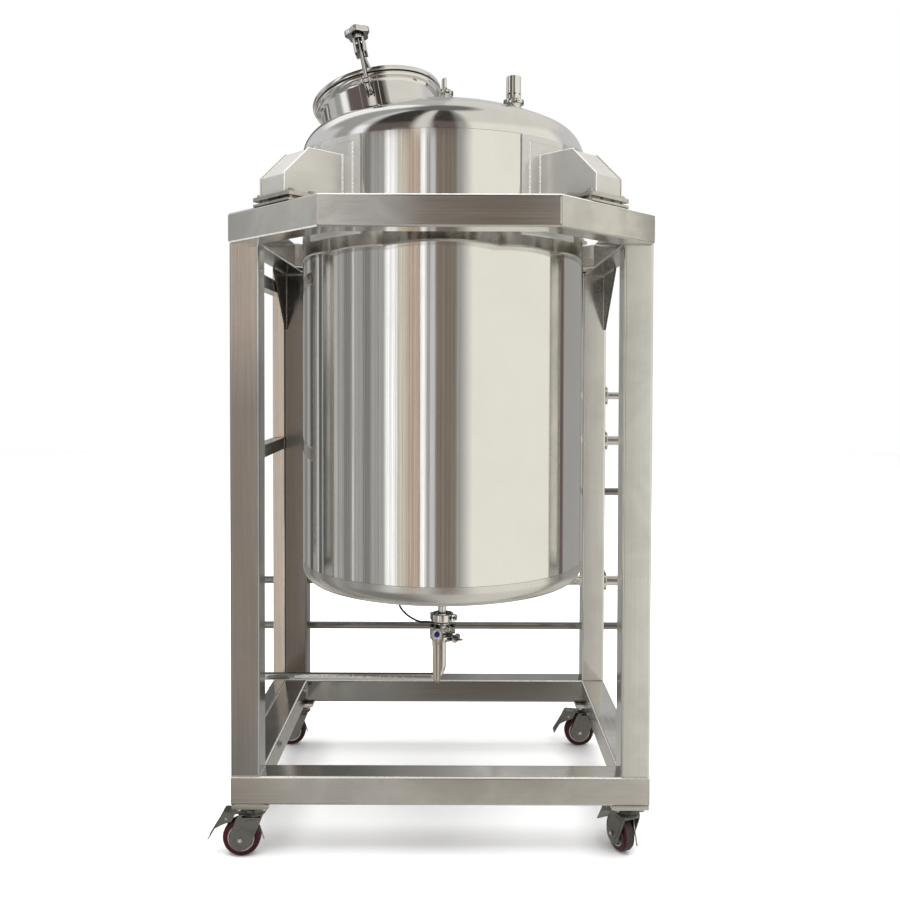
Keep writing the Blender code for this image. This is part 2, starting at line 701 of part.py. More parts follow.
def add_top_fitting(name, x, y, foot, clamp_r, body_r, height):
    """A ferrule on the head, a clamp ring and a capped body."""
    cap = foot + 0.0145 + height
    outline = [(0, SHELL_HIGH + 0.05), (0.0190, SHELL_HIGH + 0.05), (0.0190, foot - 0.006), (0.0250, foot),
               (clamp_r, foot + 0.002), (clamp_r, foot + 0.0125), (0.0250, foot + 0.0145),
               (body_r, foot + 0.0147), (body_r, cap - 0.006), (body_r - 0.004, cap), (0, cap)]
    fitting = lathe(name, outline, 24, Matrix.Translation((x, y, 0.0)))
    finish(merge(fitting, [dome_tool(GAP)], "DIFFERENCE"), "polished")


# Outlet


def add_outlet():
    """Outlet pipe with its clamp, ball valve, handle and the drain pipe."""
    low = SHELL_LOW - LOW_FLANGE - LOW_DEPTH - 0.0003
    pipe = lathe("outlet_pipe", [(OUT_PIPE_R - 0.002, low), (OUT_PIPE_R, low),
                                 (OUT_PIPE_R, 0.6030), (0.0250, 0.5970), (0.0330, 0.5960),
                                 (0.0330, 0.5680), (0.0250, 0.5665), (OUT_PIPE_R - 0.002, 0.5665)], 24)
    wing = rod("wing", (0.028, -0.004, 0.582), (0.050, -0.010, 0.582), 0.0070, 10)
    finish(merge(pipe, [wing]), "polished")

    body = lathe("valve_body", [(0, 0.5662), (0.0250, 0.5662), (0.0250, 0.5640), (0.0180, 0.5600),
                                (0.0150, 0.5560), (0.0150, 0.5380), (0.0180, 0.5340), (0.0250, 0.5320),
                                (0.0250, 0.5300), (0, 0.5300)], 24)
    block = rod("block", (-0.036, 0.0, VALVE_Z), (0.038, 0.0, VALVE_Z), BLOCK_R, 24)
    boss = rod("boss", (HANDLE_X, 0.0, HANDLE_Z), (HANDLE_X, -0.036, HANDLE_Z), 0.0110, 16)
    stem = rod("stem", (HANDLE_X, 0.0, HANDLE_Z), (HANDLE_X, -0.066, HANDLE_Z), 0.0060, AXLE_SIDES)
    finish(merge(body, [block, boss, stem]), "polished")

    lever = [(-0.0110, 0.012), (-0.0150, 0.000), (-0.0130, -0.030), (-0.0100, -0.090), (-0.0120, -0.128),
             (-0.0080, -0.138), (0.0080, -0.138), (0.0120, -0.128), (0.0100, -0.090), (0.0130, -0.030),
             (0.0150, 0.000), (0.0110, 0.012)]
    frame = Matrix.Translation((HANDLE_X, HANDLE_Y, HANDLE_Z)) @ side_frame()
    handle = extrude("valve_handle", lever, -0.0025, 0.0025, frame)
    cuff = extrude("cuff", circle(0.0110, 16), -0.0060, 0.0090, frame)
    hole = extrude("hole", circle(0.0060 + AXLE_PLAY, AXLE_SIDES), -0.020, 0.020, frame)
    merge(handle, [cuff])
    finish(merge(handle, [hole], "DIFFERENCE"), "polished", (HANDLE_X, HANDLE_Y, HANDLE_Z))

    path = corner_path([(0, 0, 0.5270), (0, 0, DRAIN_Z), (DRAIN_END + 0.004, 0, DRAIN_Z)], 0.034)
    drain = sweep("drain_pipe", path, DRAIN_R)
    ferrule = lathe("ferrule", [(0, 0.5297), (0.0250, 0.5297), (0.0320, 0.5280), (0.0320, 0.5160),
                                (0.0250, 0.5140), (0.0112, 0.5090), (0, 0.5090)], 24)
    lug = rod("lug", (0.028, -0.004, 0.522), (0.070, -0.014, 0.520), 0.0050, 10)
    end = lathe("end", [(0, 0), (0.0112, 0), (0.0252, 0.006), (0.0252, 0.0085), (0, 0.0085)], 20,
                axes((DRAIN_END + 0.0085, 0, DRAIN_Z), (-1, 0, 0)))
    finish(merge(drain, [ferrule, lug, end]), "polished")


def add_cable():
    """Thin sensor cable from a gland on the bottom head round behind the valve."""
    curve = bpy.data.curves.new("probe_cable", "CURVE")
    curve.dimensions = "3D"
    curve.resolution_u = 1
    curve.bevel_depth = 0.0020
    curve.bevel_resolution = 2
    curve.use_fill_caps = True
    line = curve.splines.new("POLY")
    line.points.add(len(CABLE) - 1)
    for slot, place in zip(line.points, CABLE):
        slot.co = (*place, 1.0)
    cable = bpy.data.objects.new("probe_cable", curve)
    bpy.context.scene.collection.objects.link(cable)
    curve.materials.append(paint("m_probe_cable", *LOOKS["black"]))


# Pipes and rods at the back


def add_back_pipes():
    """Clamped pipes that leave the tank's rear and pass behind the right post."""
    for name, leave_z, z, radius, leave in NOZZLES:
        start = [(leave, 0.330, leave_z), (leave, BACK_PIPE_Y, leave_z)]
        if abs(leave_z - z) > 0.01:
            start.append((leave, BACK_PIPE_Y, z))
        path = corner_path(start + [(SIDE_END, BACK_PIPE_Y, z)], 0.045)
        pipe = sweep(name, path, radius)
        clamp = lathe("clamp", [(0, -0.012), (0.0252, -0.012), (0.0300, -0.008), (0.0300, 0.008),
                                (0.0252, 0.012), (0, 0.012)], 20, axes((0.566, BACK_PIPE_Y, z), (1, 0, 0)))
        core = extrude("core", circle(TANK_R + GAP, TURNS), leave_z - 0.05, leave_z + 0.05)
        merge(pipe, [clamp])
        finish(merge(pipe, [core], "DIFFERENCE"), "polished")


def add_back_rods():
    for name, z, start, end in RODS:
        bar_rod = rod(name, (start, ROD_Y, z), (end, ROD_Y, z), ROD_R)
        finish(bar_rod, "brushed")


def shift_all():
    """Moves everything so that the box is centred on the origin."""
    for obj in bpy.context.scene.objects:
        obj.location.y -= MID_Y


clear_scene()
add_base()
add_posts()
add_gussets()
add_ring()
add_rack()
add_casters()
add_tank()
add_lugs()
add_manway()
add_top_fitting("relief_valve", *RELIEF)
add_top_fitting("vent", *VENT)
add_outlet()
add_cable()
add_back_pipes()
add_back_rods()
shift_all()
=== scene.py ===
# %% [markdown]
# # A stainless storage tank on a wheeled stand
# This notebook dresses a finished mechanical model. The imported solids give every size and place, and
# the cells below give what the solids leave out: polished and brushed steel, welds, bolts, clamps,
# casters, and the studio that the steel mirrors. Run the cells from top to bottom.

# %% [markdown]
# ## The imported model
# The frame comes first, because each piece rides on one of its bodies.

# %% Load the frame
import json
import math

import bpy
from mathutils import Matrix, Vector


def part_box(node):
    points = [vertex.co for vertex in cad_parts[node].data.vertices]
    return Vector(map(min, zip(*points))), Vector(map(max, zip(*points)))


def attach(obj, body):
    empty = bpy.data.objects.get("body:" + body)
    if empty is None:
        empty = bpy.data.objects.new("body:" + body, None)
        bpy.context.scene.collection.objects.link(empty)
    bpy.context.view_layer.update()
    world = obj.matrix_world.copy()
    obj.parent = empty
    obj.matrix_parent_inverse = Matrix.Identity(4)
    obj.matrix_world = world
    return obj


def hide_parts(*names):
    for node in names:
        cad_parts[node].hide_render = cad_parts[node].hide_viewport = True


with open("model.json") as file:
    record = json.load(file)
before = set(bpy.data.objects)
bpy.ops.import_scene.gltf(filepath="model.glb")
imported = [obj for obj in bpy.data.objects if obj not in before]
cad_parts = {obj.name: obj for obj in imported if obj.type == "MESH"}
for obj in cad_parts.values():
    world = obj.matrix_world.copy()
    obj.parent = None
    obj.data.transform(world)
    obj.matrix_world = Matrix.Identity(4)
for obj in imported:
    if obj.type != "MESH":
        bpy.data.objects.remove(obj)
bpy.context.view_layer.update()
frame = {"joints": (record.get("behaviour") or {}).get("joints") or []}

joints = {joint["name"]: joint for joint in frame["joints"]}

# %% Measures taken from the frame
shell_low, shell_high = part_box("shell")
AXIS_Y = (shell_low.y + shell_high.y) / 2
TANK_R = shell_high.x
ring_low, ring_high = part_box("ring_front")
TUBE = ring_high.z - ring_low.z
HALF_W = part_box("ring_right")[1].x
RING_Z = ring_low.z
RING_TOP = ring_high.z
REAR_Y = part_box("ring_right")[1].y
BASE_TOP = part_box("base_left")[1].z
BASE_Z = BASE_TOP - TUBE
FOOT_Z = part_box("base_front")[0].z
GAP = 0.0003
print(f"tank radius {TANK_R:.3f} m, tube {TUBE * 1000:.1f} mm, half width {HALF_W:.3f} m")

# %% [markdown]
# ## The camera
# The photograph was taken standing in front of the tank, a little above its middle and a little to the
# right. The lens and place come from matching the stand's edges. The small shift keeps the uprights
# upright, as the photograph does, so the camera needs hardly any tilt.

# %% Place the camera
CAMERA_AT = Vector((0.0425, -2.6414, 1.2936))
CAMERA_LENS = 35.99
CAMERA_SHIFT = (-0.0075, -0.0631)
TILT_DOWN = 0.0232
TURN_RIGHT = -0.0008
ROLL = 0.0028

lens_data = bpy.data.cameras.new("front_view")
lens_data.lens = CAMERA_LENS
lens_data.sensor_width = 36.0
lens_data.shift_x, lens_data.shift_y = CAMERA_SHIFT
camera = bpy.data.objects.new("front_view", lens_data)
bpy.context.scene.collection.objects.link(camera)
aim = Matrix.Rotation(-TURN_RIGHT, 4, "Z") @ Matrix.Rotation(math.pi / 2 - TILT_DOWN, 4, "X")
camera.matrix_world = Matrix.Translation(CAMERA_AT) @ aim @ Matrix.Rotation(ROLL, 4, "Z")
bpy.context.scene.camera = camera
print("camera at", tuple(round(c, 3) for c in CAMERA_AT))

# %% [markdown]
# ## Node helpers
# A shader is a chain of small nodes. Two helpers keep the chains readable: one adds a node and fills
# its sockets, with numbers or with other nodes' outputs, and one adds a Math node.


# %% Helpers for node trees
def node(tree, kind, settings=None, sockets=None):
    """Adds a node, sets its properties, then fills its input sockets."""
    made = tree.nodes.new("ShaderNode" + kind)
    for key, value in (settings or {}).items():
        setattr(made, key, value)
    for key, value in (sockets or {}).items():
        if isinstance(value, bpy.types.NodeSocket):
            tree.links.new(value, made.inputs[key])
        else:
            made.inputs[key].default_value = value
    return made


def maths(tree, operation, first, second=0.0):
    return node(tree, "Math", {"operation": operation}, {0: first, 1: second}).outputs[0]


def between(tree, value, low, high, to_low=0.0, to_high=1.0):
    """Rescales a value from one range to another, held at both ends."""
    sockets = {"Value": value, "From Min": low, "From Max": high, "To Min": to_low, "To Max": to_high}
    return node(tree, "MapRange", None, sockets).outputs["Result"]


def facet_of(tree, place):
    """The X, Y and Z of a vector output, as a node's outputs."""
    return node(tree, "SeparateXYZ", None, {"Vector": place}).outputs


def blend_colours(tree, amount, first, second, kind="MIX"):
    made = node(tree, "Mix", {"data_type": "RGBA", "blend_type": kind})
    for index, value in ((0, amount), (6, first), (7, second)):
        if isinstance(value, bpy.types.NodeSocket):
            tree.links.new(value, made.inputs[index])
        else:
            made.inputs[index].default_value = value
    return made.outputs[2]


def ramp(tree, value, stops):
    """A colour ramp; stops are (place, (red, green, blue))."""
    made = node(tree, "ValToRGB", None, {"Fac": value})
    bands = made.color_ramp.elements
    while len(bands) < len(stops):
        bands.new(1.0)
    for band, (place, colour) in zip(bands, stops):
        band.position = place
        band.color = (*colour, 1.0)
    return made.outputs["Color"]


print("node helpers ready")

# %% [markdown]
# ## The studio
# Polished steel has almost no colour of its own, so the room is half of its look. The photograph's tank
# mirrors a pale wall on its right, a brown doorway straight ahead and a row of tall windows and posts on
# its left. The world below paints those as plain upright bands by compass direction, with other bands for
# what lies higher up and for the ground. Matt things see plain white instead, as the photograph was cut
# out on white. A pale floor catches the shadows, and one large lamp overhead keeps it bright.

# %% Colours of the room
WHITE = (1.0, 1.0, 1.0)
CREAM = (0.86, 0.84, 0.76)
SAND = (0.62, 0.58, 0.5)
TAN = (0.51, 0.41, 0.33)
BROWN = (0.215, 0.18, 0.15)
SILVER = (0.6, 0.6, 0.6)
GREY = (0.36, 0.355, 0.34)
SLATE = (0.23, 0.225, 0.21)
DARK = (0.1, 0.1, 0.095)
SOOT = (0.045, 0.04, 0.036)
DUST = (0.55, 0.53, 0.49)
PALE = (0.72, 0.7, 0.65)
STONE = (0.31, 0.305, 0.29)
UMBER = (0.13, 0.105, 0.095)
CLOUD = (0.5, 0.5, 0.49)
DUSK = (0.16, 0.155, 0.15)
print("fifteen wall colours and one for straight up")

# %% Bands of the room, by direction
# Each band is its first and last direction in degrees, clockwise from straight ahead, and its colour
LEFT_BANDS = ((-180, -152, STONE), (-150, -143, SLATE), (-141, -134, GREY), (-133, -123, DARK),
              (-121, -117, SILVER), (-116, -112, DARK), (-110, -93, CLOUD), (-90, -85, GREY),
              (-83, -76, SLATE), (-74.5, -73.5, SILVER), (-72, -65, GREY), (-63, -58, SLATE),
              (-56, -46, GREY), (-44, -36, WHITE), (-34, -28, SAND), (-27, -17, TAN))
RIGHT_BANDS = ((-16, -12.5, WHITE), (-11.5, -9.5, GREY), (-9, -5.5, SILVER), (-4.5, 11, BROWN),
               (12, 14.5, GREY), (24, 107.5, CREAM), (108.5, 113, UMBER), (114.5, 150, GREY),
               (153, 180, STONE))
# The same directions looking a little up, well up, and down at the ground
UPPER_BANDS = ((-180, -176, GREY), (-172, -158, DARK), (-150, -100, SILVER), (-92, -80, GREY),
               (-74, -66, WHITE), (-60, -26, UMBER), (-20, -11, PALE), (-7, 10, UMBER), (14, 17, GREY),
               (24, 100, CREAM), (112, 180, SILVER))
HIGH_BANDS = ((-180, -162, CLOUD), (-155, -128, WHITE), (-118, -80, GREY), (-74, -66, SILVER),
              (-58, -26, SOOT), (-20, -11, PALE), (-7, 10, SOOT), (13, 16, SLATE), (22, 180, PALE))
GROUND_BANDS = ((-180, -100, DUST), (-80, -25, SLATE), (-12, 8, DUST), (35, 100, PALE), (150, 180, DUST))
# A ramp holds 32 stops, so the room is split between two ramps at this direction
SPLIT = -16.5
# The sine of the angle above level at which each set of bands begins and is full
UPPER_FROM, HIGH_FROM, DUSK_FROM, GROUND_FROM = (0.254, 0.27), (0.5, 0.62), (0.95, 0.985), (-0.44, -0.3)


def band_stops(bands, start, end):
    stops = []
    for first, last, colour in bands:
        stops.append(((first - start) / (end - start), colour))
        stops.append(((last - start) / (end - start), colour))
    return stops


print(len(LEFT_BANDS) + len(RIGHT_BANDS), "bands round the room")


# %% The walls as nodes
def bands_at(tree, turn, bands, start=-180.0, end=180.0):
    return ramp(tree, between(tree, turn, start, end), band_stops(bands, start, end))


def room_walls(tree, turn):
    """The level bands, with fine streaks everywhere but on the plain wall at the right."""
    left = bands_at(tree, turn, LEFT_BANDS, end=SPLIT)
    right = bands_at(tree, turn, RIGHT_BANDS, start=SPLIT)
    wall = blend_colours(tree, maths(tree, "GREATER_THAN", turn, SPLIT), left, right)
    fine = node(tree, "TexNoise", {"noise_dimensions": "1D"},
                {"W": maths(tree, "MULTIPLY", turn, 0.9), "Scale": 1.0, "Detail": 3.0})
    streak = between(tree, fine.outputs["Fac"], 0.35, 0.65, 0.72, 1.3)
    calm = maths(tree, "GREATER_THAN", turn, 15.0)
    streak = maths(tree, "ADD", maths(tree, "MULTIPLY", streak, maths(tree, "SUBTRACT", 1.0, calm)), calm)
    return blend_colours(tree, 1.0, wall, streak, "MULTIPLY")


print("wall helpers ready")


# %% The world
def build_world():
    world = bpy.data.worlds.new("studio")
    world.use_nodes = True
    bpy.context.scene.world = world
    tree = world.node_tree
    tree.nodes.clear()
    ray = facet_of(tree, node(tree, "TexCoord").outputs["Generated"])
    ahead = maths(tree, "MULTIPLY", ray["Y"], -1.0)
    turn = maths(tree, "MULTIPLY", maths(tree, "ARCTAN2", ray["X"], ahead), 180.0 / math.pi)
    wall = room_walls(tree, turn)
    for bands, levels in ((UPPER_BANDS, UPPER_FROM), (HIGH_BANDS, HIGH_FROM)):
        wall = blend_colours(tree, between(tree, ray["Z"], *levels), wall, bands_at(tree, turn, bands))
    wall = blend_colours(tree, between(tree, ray["Z"], *DUSK_FROM), wall, (*DUSK, 1.0))
    ground = bands_at(tree, turn, GROUND_BANDS)
    wall = blend_colours(tree, between(tree, ray["Z"], *GROUND_FROM, 1.0, 0.0), wall, ground)

    path = node(tree, "LightPath")
    plain = maths(tree, "MAXIMUM", path.outputs["Is Camera Ray"], path.outputs["Is Diffuse Ray"])
    colour = blend_colours(tree, plain, wall, (*WHITE, 1.0))
    back = node(tree, "Background", None, {"Color": colour, "Strength": 1.0})
    out = node(tree, "OutputWorld")
    tree.links.new(back.outputs["Background"], out.inputs["Surface"])


build_world()
bpy.context.scene.view_settings.view_transform = "Standard"
print("world built")

# %% Floor and lamp
FLOOR_SIZE = 24.0
LAMP_HEIGHT = 5.5
LAMP_SIZE = 6.0
LAMP_WATTS = 560.0


def build_floor():
    bpy.ops.object.select_all(action="DESELECT")
    bpy.ops.mesh.primitive_plane_add(size=FLOOR_SIZE, location=(0.0, 0.0, -0.0005))
    floor = bpy.context.object
    floor.name = "pale_floor"
    mat = bpy.data.materials.new("pale_floor")
    mat.use_nodes = True
    shader = mat.node_tree.nodes["Principled BSDF"]
    shader.inputs["Base Color"].default_value = (0.98, 0.98, 0.98, 1.0)
    shader.inputs["Roughness"].default_value = 0.9
    shader.inputs["Specular IOR Level"].default_value = 0.1
    floor.data.materials.append(mat)
    floor.visible_glossy = False


def build_lamp():
    """A square soft lamp that looks down at the tank and isn't mirrored."""
    lamp_data = bpy.data.lights.new("overhead", "AREA")
    lamp_data.shape = "SQUARE"
    lamp_data.size = LAMP_SIZE
    lamp_data.energy = LAMP_WATTS
    lamp = bpy.data.objects.new("overhead", lamp_data)
    lamp.location = (0.0, -0.5, LAMP_HEIGHT)
    lamp.rotation_mode = "QUATERNION"
    lamp.rotation_quaternion = (-lamp.location).to_track_quat("-Z", "Y")
    lamp.visible_glossy = False
    bpy.context.scene.collection.objects.link(lamp)


build_floor()
build_lamp()
print("floor and lamp placed")

# %% [markdown]
# ## Modelling helpers
# Every new piece starts as a primitive at its real size. Before anything is added, all is deselected,
# because an operator acts on whatever is selected. A finished piece gets even shading on its flat faces
# (a Weighted Normal modifier), its steel, and the body that it rides on.


# %% Starting a piece
def leave_selection():
    active = bpy.context.view_layer.objects.active
    if active is not None and active.mode != "OBJECT":
        bpy.ops.object.mode_set(mode="OBJECT")
    bpy.ops.object.select_all(action="DESELECT")


def choose(piece):
    leave_selection()
    piece.select_set(True)
    bpy.context.view_layer.objects.active = piece
    return piece


def bake_place(piece):
    choose(piece)
    bpy.ops.object.transform_apply(location=True, rotation=True, scale=True)
    return piece


print("starting helpers ready")

# %% Finishing a piece
SMOOTH_BELOW = math.radians(32.0)


def finish_piece(piece, coat, body="stand", stands_for=()):
    """Even shading, the coat, the body and the nodes that the piece stands for."""
    bake_place(piece)
    bpy.ops.object.shade_smooth_by_angle(angle=SMOOTH_BELOW)
    bpy.ops.object.modifier_add(type="WEIGHTED_NORMAL")
    piece.modifiers[-1].keep_sharp = True
    bpy.ops.object.modifier_apply(modifier=piece.modifiers[-1].name)
    if coat is not None:
        piece.data.materials.clear()
        piece.data.materials.append(coat)
    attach(piece, body)
    if stands_for:
        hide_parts(*stands_for)
    return piece


def join_pieces(name, pieces):
    leave_selection()
    for piece in pieces:
        piece.select_set(True)
    bpy.context.view_layer.objects.active = pieces[0]
    if len(pieces) > 1:
        bpy.ops.object.join()
    joined = bpy.context.view_layer.objects.active
    joined.name = name
    return joined


def finish_parts(name, parts, body="stand"):
    """Joins painted parts into the piece that stands for the node of that name."""
    return finish_piece(join_pieces(name, parts), None, body, (name,))


def copy_piece(piece, name, place):
    """A copy with its own mesh, put in place by a matrix."""
    twin = piece.copy()
    twin.data = piece.data.copy()
    twin.name = name
    bpy.context.scene.collection.objects.link(twin)
    twin.data.transform(place)
    return twin


def drop(*pieces):
    for piece in pieces:
        bpy.data.objects.remove(piece, do_unlink=True)


print("finishing helpers ready")


# %% Selecting by place
def pick(piece, kind, test):
    """Enters edit mode with only the elements selected for which test is true."""
    choose(piece)
    bpy.ops.object.mode_set(mode="EDIT")
    bpy.ops.mesh.select_mode(type=kind)
    bpy.ops.mesh.select_all(action="DESELECT")
    bpy.ops.object.mode_set(mode="OBJECT")
    mesh = piece.data
    if kind == "FACE":
        for face in mesh.polygons:
            face.select = test(face.center, face.normal)
    elif kind == "EDGE":
        for edge in mesh.edges:
            ends = [mesh.vertices[i].co for i in edge.vertices]
            edge.select = test(ends[0], ends[1])
    else:
        for vertex in mesh.vertices:
            vertex.select = test(vertex.co)
    bpy.ops.object.mode_set(mode="EDIT")


def leave_edit():
    bpy.ops.object.mode_set(mode="OBJECT")


print("selecting helpers ready")


# %% Blocks, rounding and cutting
def block(name, low, high):
    """A block between two corners."""
    low, high = Vector(low), Vector(high)
    leave_selection()
    bpy.ops.mesh.primitive_cube_add(size=1.0, location=(low + high) / 2, scale=high - low)
    piece = bake_place(bpy.context.object)
    piece.name = name
    return piece


def round_edges(piece, width, segments, test):
    """Bevels only the edges for which test(end, end) is true."""
    pick(piece, "EDGE", test)
    bpy.ops.mesh.bevel(offset=width, segments=segments, affect="EDGES")
    leave_edit()
    return piece


def soften(piece, width, segments=2, angle=35.0):
    """Rounds every edge sharper than the angle."""
    choose(piece)
    bpy.ops.object.modifier_add(type="BEVEL")
    step = piece.modifiers[-1]
    step.width = width
    step.segments = segments
    step.limit_method = "ANGLE"
    step.angle_limit = math.radians(angle)
    step.use_clamp_overlap = True
    bpy.ops.object.modifier_apply(modifier=step.name)
    return piece


def cut_off(piece, point, normal):
    """Cuts the piece with a plane and drops the side that the normal points to."""
    pick(piece, "VERT", lambda co: True)
    bpy.ops.mesh.bisect(plane_co=point, plane_no=normal, use_fill=True, clear_outer=True)
    leave_edit()
    return piece


def combine(piece, tool, operation):
    """A boolean with another piece, which is used up."""
    choose(piece)
    bpy.ops.object.modifier_add(type="BOOLEAN")
    step = piece.modifiers[-1]
    step.operation = operation
    step.solver = "EXACT"
    step.object = tool
    bpy.ops.object.modifier_apply(modifier=step.name)
    drop(tool)
    return piece


print("shape helpers ready")


# %% Turned pieces
def both_ways(points, closed=True):
    """The lower half of an outline, its mirror image above, and the first point again if closed."""
    whole = points + [(radius, -height) for radius, height in reversed(points) if height != 0.0]
    return whole + points[:1] if closed else whole


def turned(name, outline, steps=48, place=None, sweep=math.tau):
    """Draws an outline of (radius, height) points by extruding one vertex, then spins it about Z."""
    leave_selection()
    bpy.ops.mesh.primitive_plane_add(size=0.01)
    piece = bpy.context.object
    piece.name = name
    bpy.ops.object.mode_set(mode="EDIT")
    bpy.ops.mesh.select_mode(type="VERT")
    bpy.ops.mesh.merge(type="CENTER")
    bpy.ops.transform.translate(value=(outline[0][0], 0.0, outline[0][1]))
    for here, there in zip(outline, outline[1:]):
        step = (there[0] - here[0], 0.0, there[1] - here[1])
        bpy.ops.mesh.extrude_region_move(TRANSFORM_OT_translate={"value": step})
    bpy.ops.mesh.select_all(action="SELECT")
    bpy.ops.mesh.spin(steps=steps, angle=sweep, center=(0.0, 0.0, 0.0), axis=(0.0, 0.0, 1.0))
    bpy.ops.mesh.select_all(action="SELECT")
    bpy.ops.mesh.remove_doubles(threshold=0.00002)
    bpy.ops.mesh.normals_make_consistent(inside=False)
    bpy.ops.object.mode_set(mode="OBJECT")
    if place is not None:
        piece.matrix_world = place
    return bake_place(piece)


def span_on(sign, near, far):
    """Two distances from the middle on one side of it, the lower first."""
    return sorted((sign * near, sign * far))


def facing(at, direction, side=(0.0, 0.0, 1.0)):
    """A matrix at a point whose Z is the direction and whose X is nearest to side."""
    z_dir = Vector(direction).normalized()
    hint = Vector(side)
    if abs(z_dir.dot(hint.normalized())) > 0.99:
        hint = Vector((1.0, 0.0, 0.0))
    x_dir = (hint - z_dir * z_dir.dot(hint)).normalized()
    turn = Matrix((x_dir, z_dir.cross(x_dir), z_dir)).transposed().to_4x4()
    return Matrix.Translation(Vector(at)) @ turn


def cylinder(name, place, radius, low, high, vertices=48):
    """A cylinder along a frame's Z between two heights."""
    leave_selection()
    bpy.ops.mesh.primitive_cylinder_add(vertices=vertices, radius=radius, depth=high - low,
                                        location=(0.0, 0.0, (low + high) / 2))
    piece = bake_place(bpy.context.object)
    piece.name = name
    piece.matrix_world = place
    return bake_place(piece)


print("turning helpers ready")

# %% [markdown]
# ## Steel and the other coats
# One recipe gives every steel here. A noise drawn out along the grain roughens the surface and tilts it a
# little, a broad noise leaves the smudges of handling, and slow waves bend the mirrored room as real
# sheet does. Everything is measured in metres from the piece's own origin.


# %% The steel recipe
SHEET_SWELL = (0.16, 0.16, 0.55)
# Painted shade on small round fittings: how bright their colour is kept where they turn away from the front,
# and from there to the front
SIDE_SHADE_STOPS = ((0.0, (0.34,) * 3), (0.22, (0.12,) * 3), (0.48, (0.1,) * 3), (0.66, (0.95,) * 3),
              (1.0, (1.0,) * 3))
POST_HEIGHT = 2.0


def steel(name, colour, rough, grain, heading=0.0, depth=0.1, smudge=0.12, waves=0.0,
          swell_size=SHEET_SWELL, lean=0.0, metal=1.0, painted_side_shade=False, painted_light=None):
    """A steel with a linear colour, a roughness from clean to smudged, and scratches of grain metres.

    waves is how deep slow waves run, swell_size how long they are, lean how much the mirrored room
    shifts along X, and fade a ramp of tints from the floor up that paints light and shade. painted_side_shade
    paints shade on faces that turn sideways from the front.
    """
    mat = bpy.data.materials.new(name)
    mat.use_nodes = True
    tree = mat.node_tree
    shader = tree.nodes["Principled BSDF"]
    place = node(tree, "TexCoord").outputs["Object"]
    drawn = node(tree, "Mapping", {"vector_type": "TEXTURE"},
                 {"Vector": place, "Rotation": (0.0, 0.0, heading), "Scale": grain})
    scratch = node(tree, "TexNoise", None,
                   {"Vector": drawn.outputs["Vector"], "Scale": 1.0, "Detail": 4.0, "Roughness": 0.65})
    broad = node(tree, "TexNoise", None,
                 {"Vector": place, "Scale": 6.0, "Detail": 5.0, "Roughness": 0.6, "Distortion": 0.5})
    worn = between(tree, broad.outputs["Fac"], 0.38, 0.66)
    marked = between(tree, scratch.outputs["Fac"], 0.3, 0.7, -0.05, 0.05)
    polish = between(tree, worn, 0.0, 1.0, rough[0], rough[1])
    tree.links.new(maths(tree, "MAXIMUM", maths(tree, "ADD", polish, marked), 0.02),
                   shader.inputs["Roughness"])
    duller = tuple(c * (1.0 - smudge) for c in colour)
    tint = blend_colours(tree, worn, (*colour, 1.0), (*duller, 1.0))
    lines = between(tree, scratch.outputs["Fac"], 0.3, 0.7, 1.0 - smudge * 0.6, 1.0)
    tint = blend_colours(tree, 1.0, tint, lines, "MULTIPLY")
    # Painted light and shade: a ramp of tints by height above the floor
    if painted_light:
        height = between(tree, facet_of(tree, place)["Z"], 0.0, POST_HEIGHT)
        tint = blend_colours(tree, 1.0, tint, ramp(tree, height, painted_light), "MULTIPLY")
    # Painted shade: the colour is darker where a face turns sideways from the front
    if painted_side_shade:
        normal = node(tree, "TexCoord").outputs["Normal"]
        front = maths(tree, "ABSOLUTE", facet_of(tree, normal)["Y"])
        tint = blend_colours(tree, 1.0, tint, ramp(tree, front, SIDE_SHADE_STOPS), "MULTIPLY")
    tree.links.new(tint, shader.inputs["Base Color"])
    shader.inputs["Metallic"].default_value = metal
    bump = node(tree, "Bump", None,
                {"Strength": depth, "Distance": 0.0003, "Height": scratch.outputs["Fac"]})
    if waves:
        slow = node(tree, "Mapping", {"vector_type": "TEXTURE"}, {"Vector": place, "Scale": swell_size})
        swell = node(tree, "TexNoise", None,
                     {"Vector": slow.outputs["Vector"], "Scale": 1.0, "Detail": 1.5})
        bump = node(tree, "Bump", None, {"Strength": 1.0, "Distance": waves,
                                         "Height": swell.outputs["Fac"], "Normal": bump.outputs["Normal"]})
    normal = bump.outputs["Normal"]
    if lean:
        across = maths(tree, "MULTIPLY", facet_of(tree, place)["X"], lean)
        tilt = node(tree, "CombineXYZ", None, {"X": across})
        leaned = node(tree, "VectorMath", {"operation": "ADD"}, {0: normal, 1: tilt.outputs["Vector"]})
        level = node(tree, "VectorMath", {"operation": "NORMALIZE"}, {0: leaned.outputs["Vector"]})
        normal = level.outputs["Vector"]
    tree.links.new(normal, shader.inputs["Normal"])
    return mat


print("steel recipe ready")

# %% Brushed steels of the stand
SATIN = (0.74, 0.72, 0.68)
SATIN_ROUGH = (0.14, 0.23)
# The grain drawn out along one axis: the size of one scratch in metres
ALONG_X, ALONG_Y, ALONG_Z = (0.3, 0.003, 0.003), (0.003, 0.3, 0.003), (0.003, 0.003, 0.3)
LEAN = 0.143
# Painted light and shade on the front left post: tints from the floor up to POST_HEIGHT, darker low down and
# lighter near the top
LEFT_POST_LIGHT_AND_SHADE = ((0.12, (0.8,) * 3), (0.35, (0.74,) * 3), (0.6, (0.76,) * 3), (0.72, (1.2,) * 3),
             (0.82, (1.3,) * 3))


def satin(name, colour, grain, heading=0.0, painted_light=None):
    return steel(name, colour, SATIN_ROUGH, grain, heading, lean=LEAN, painted_light=painted_light)
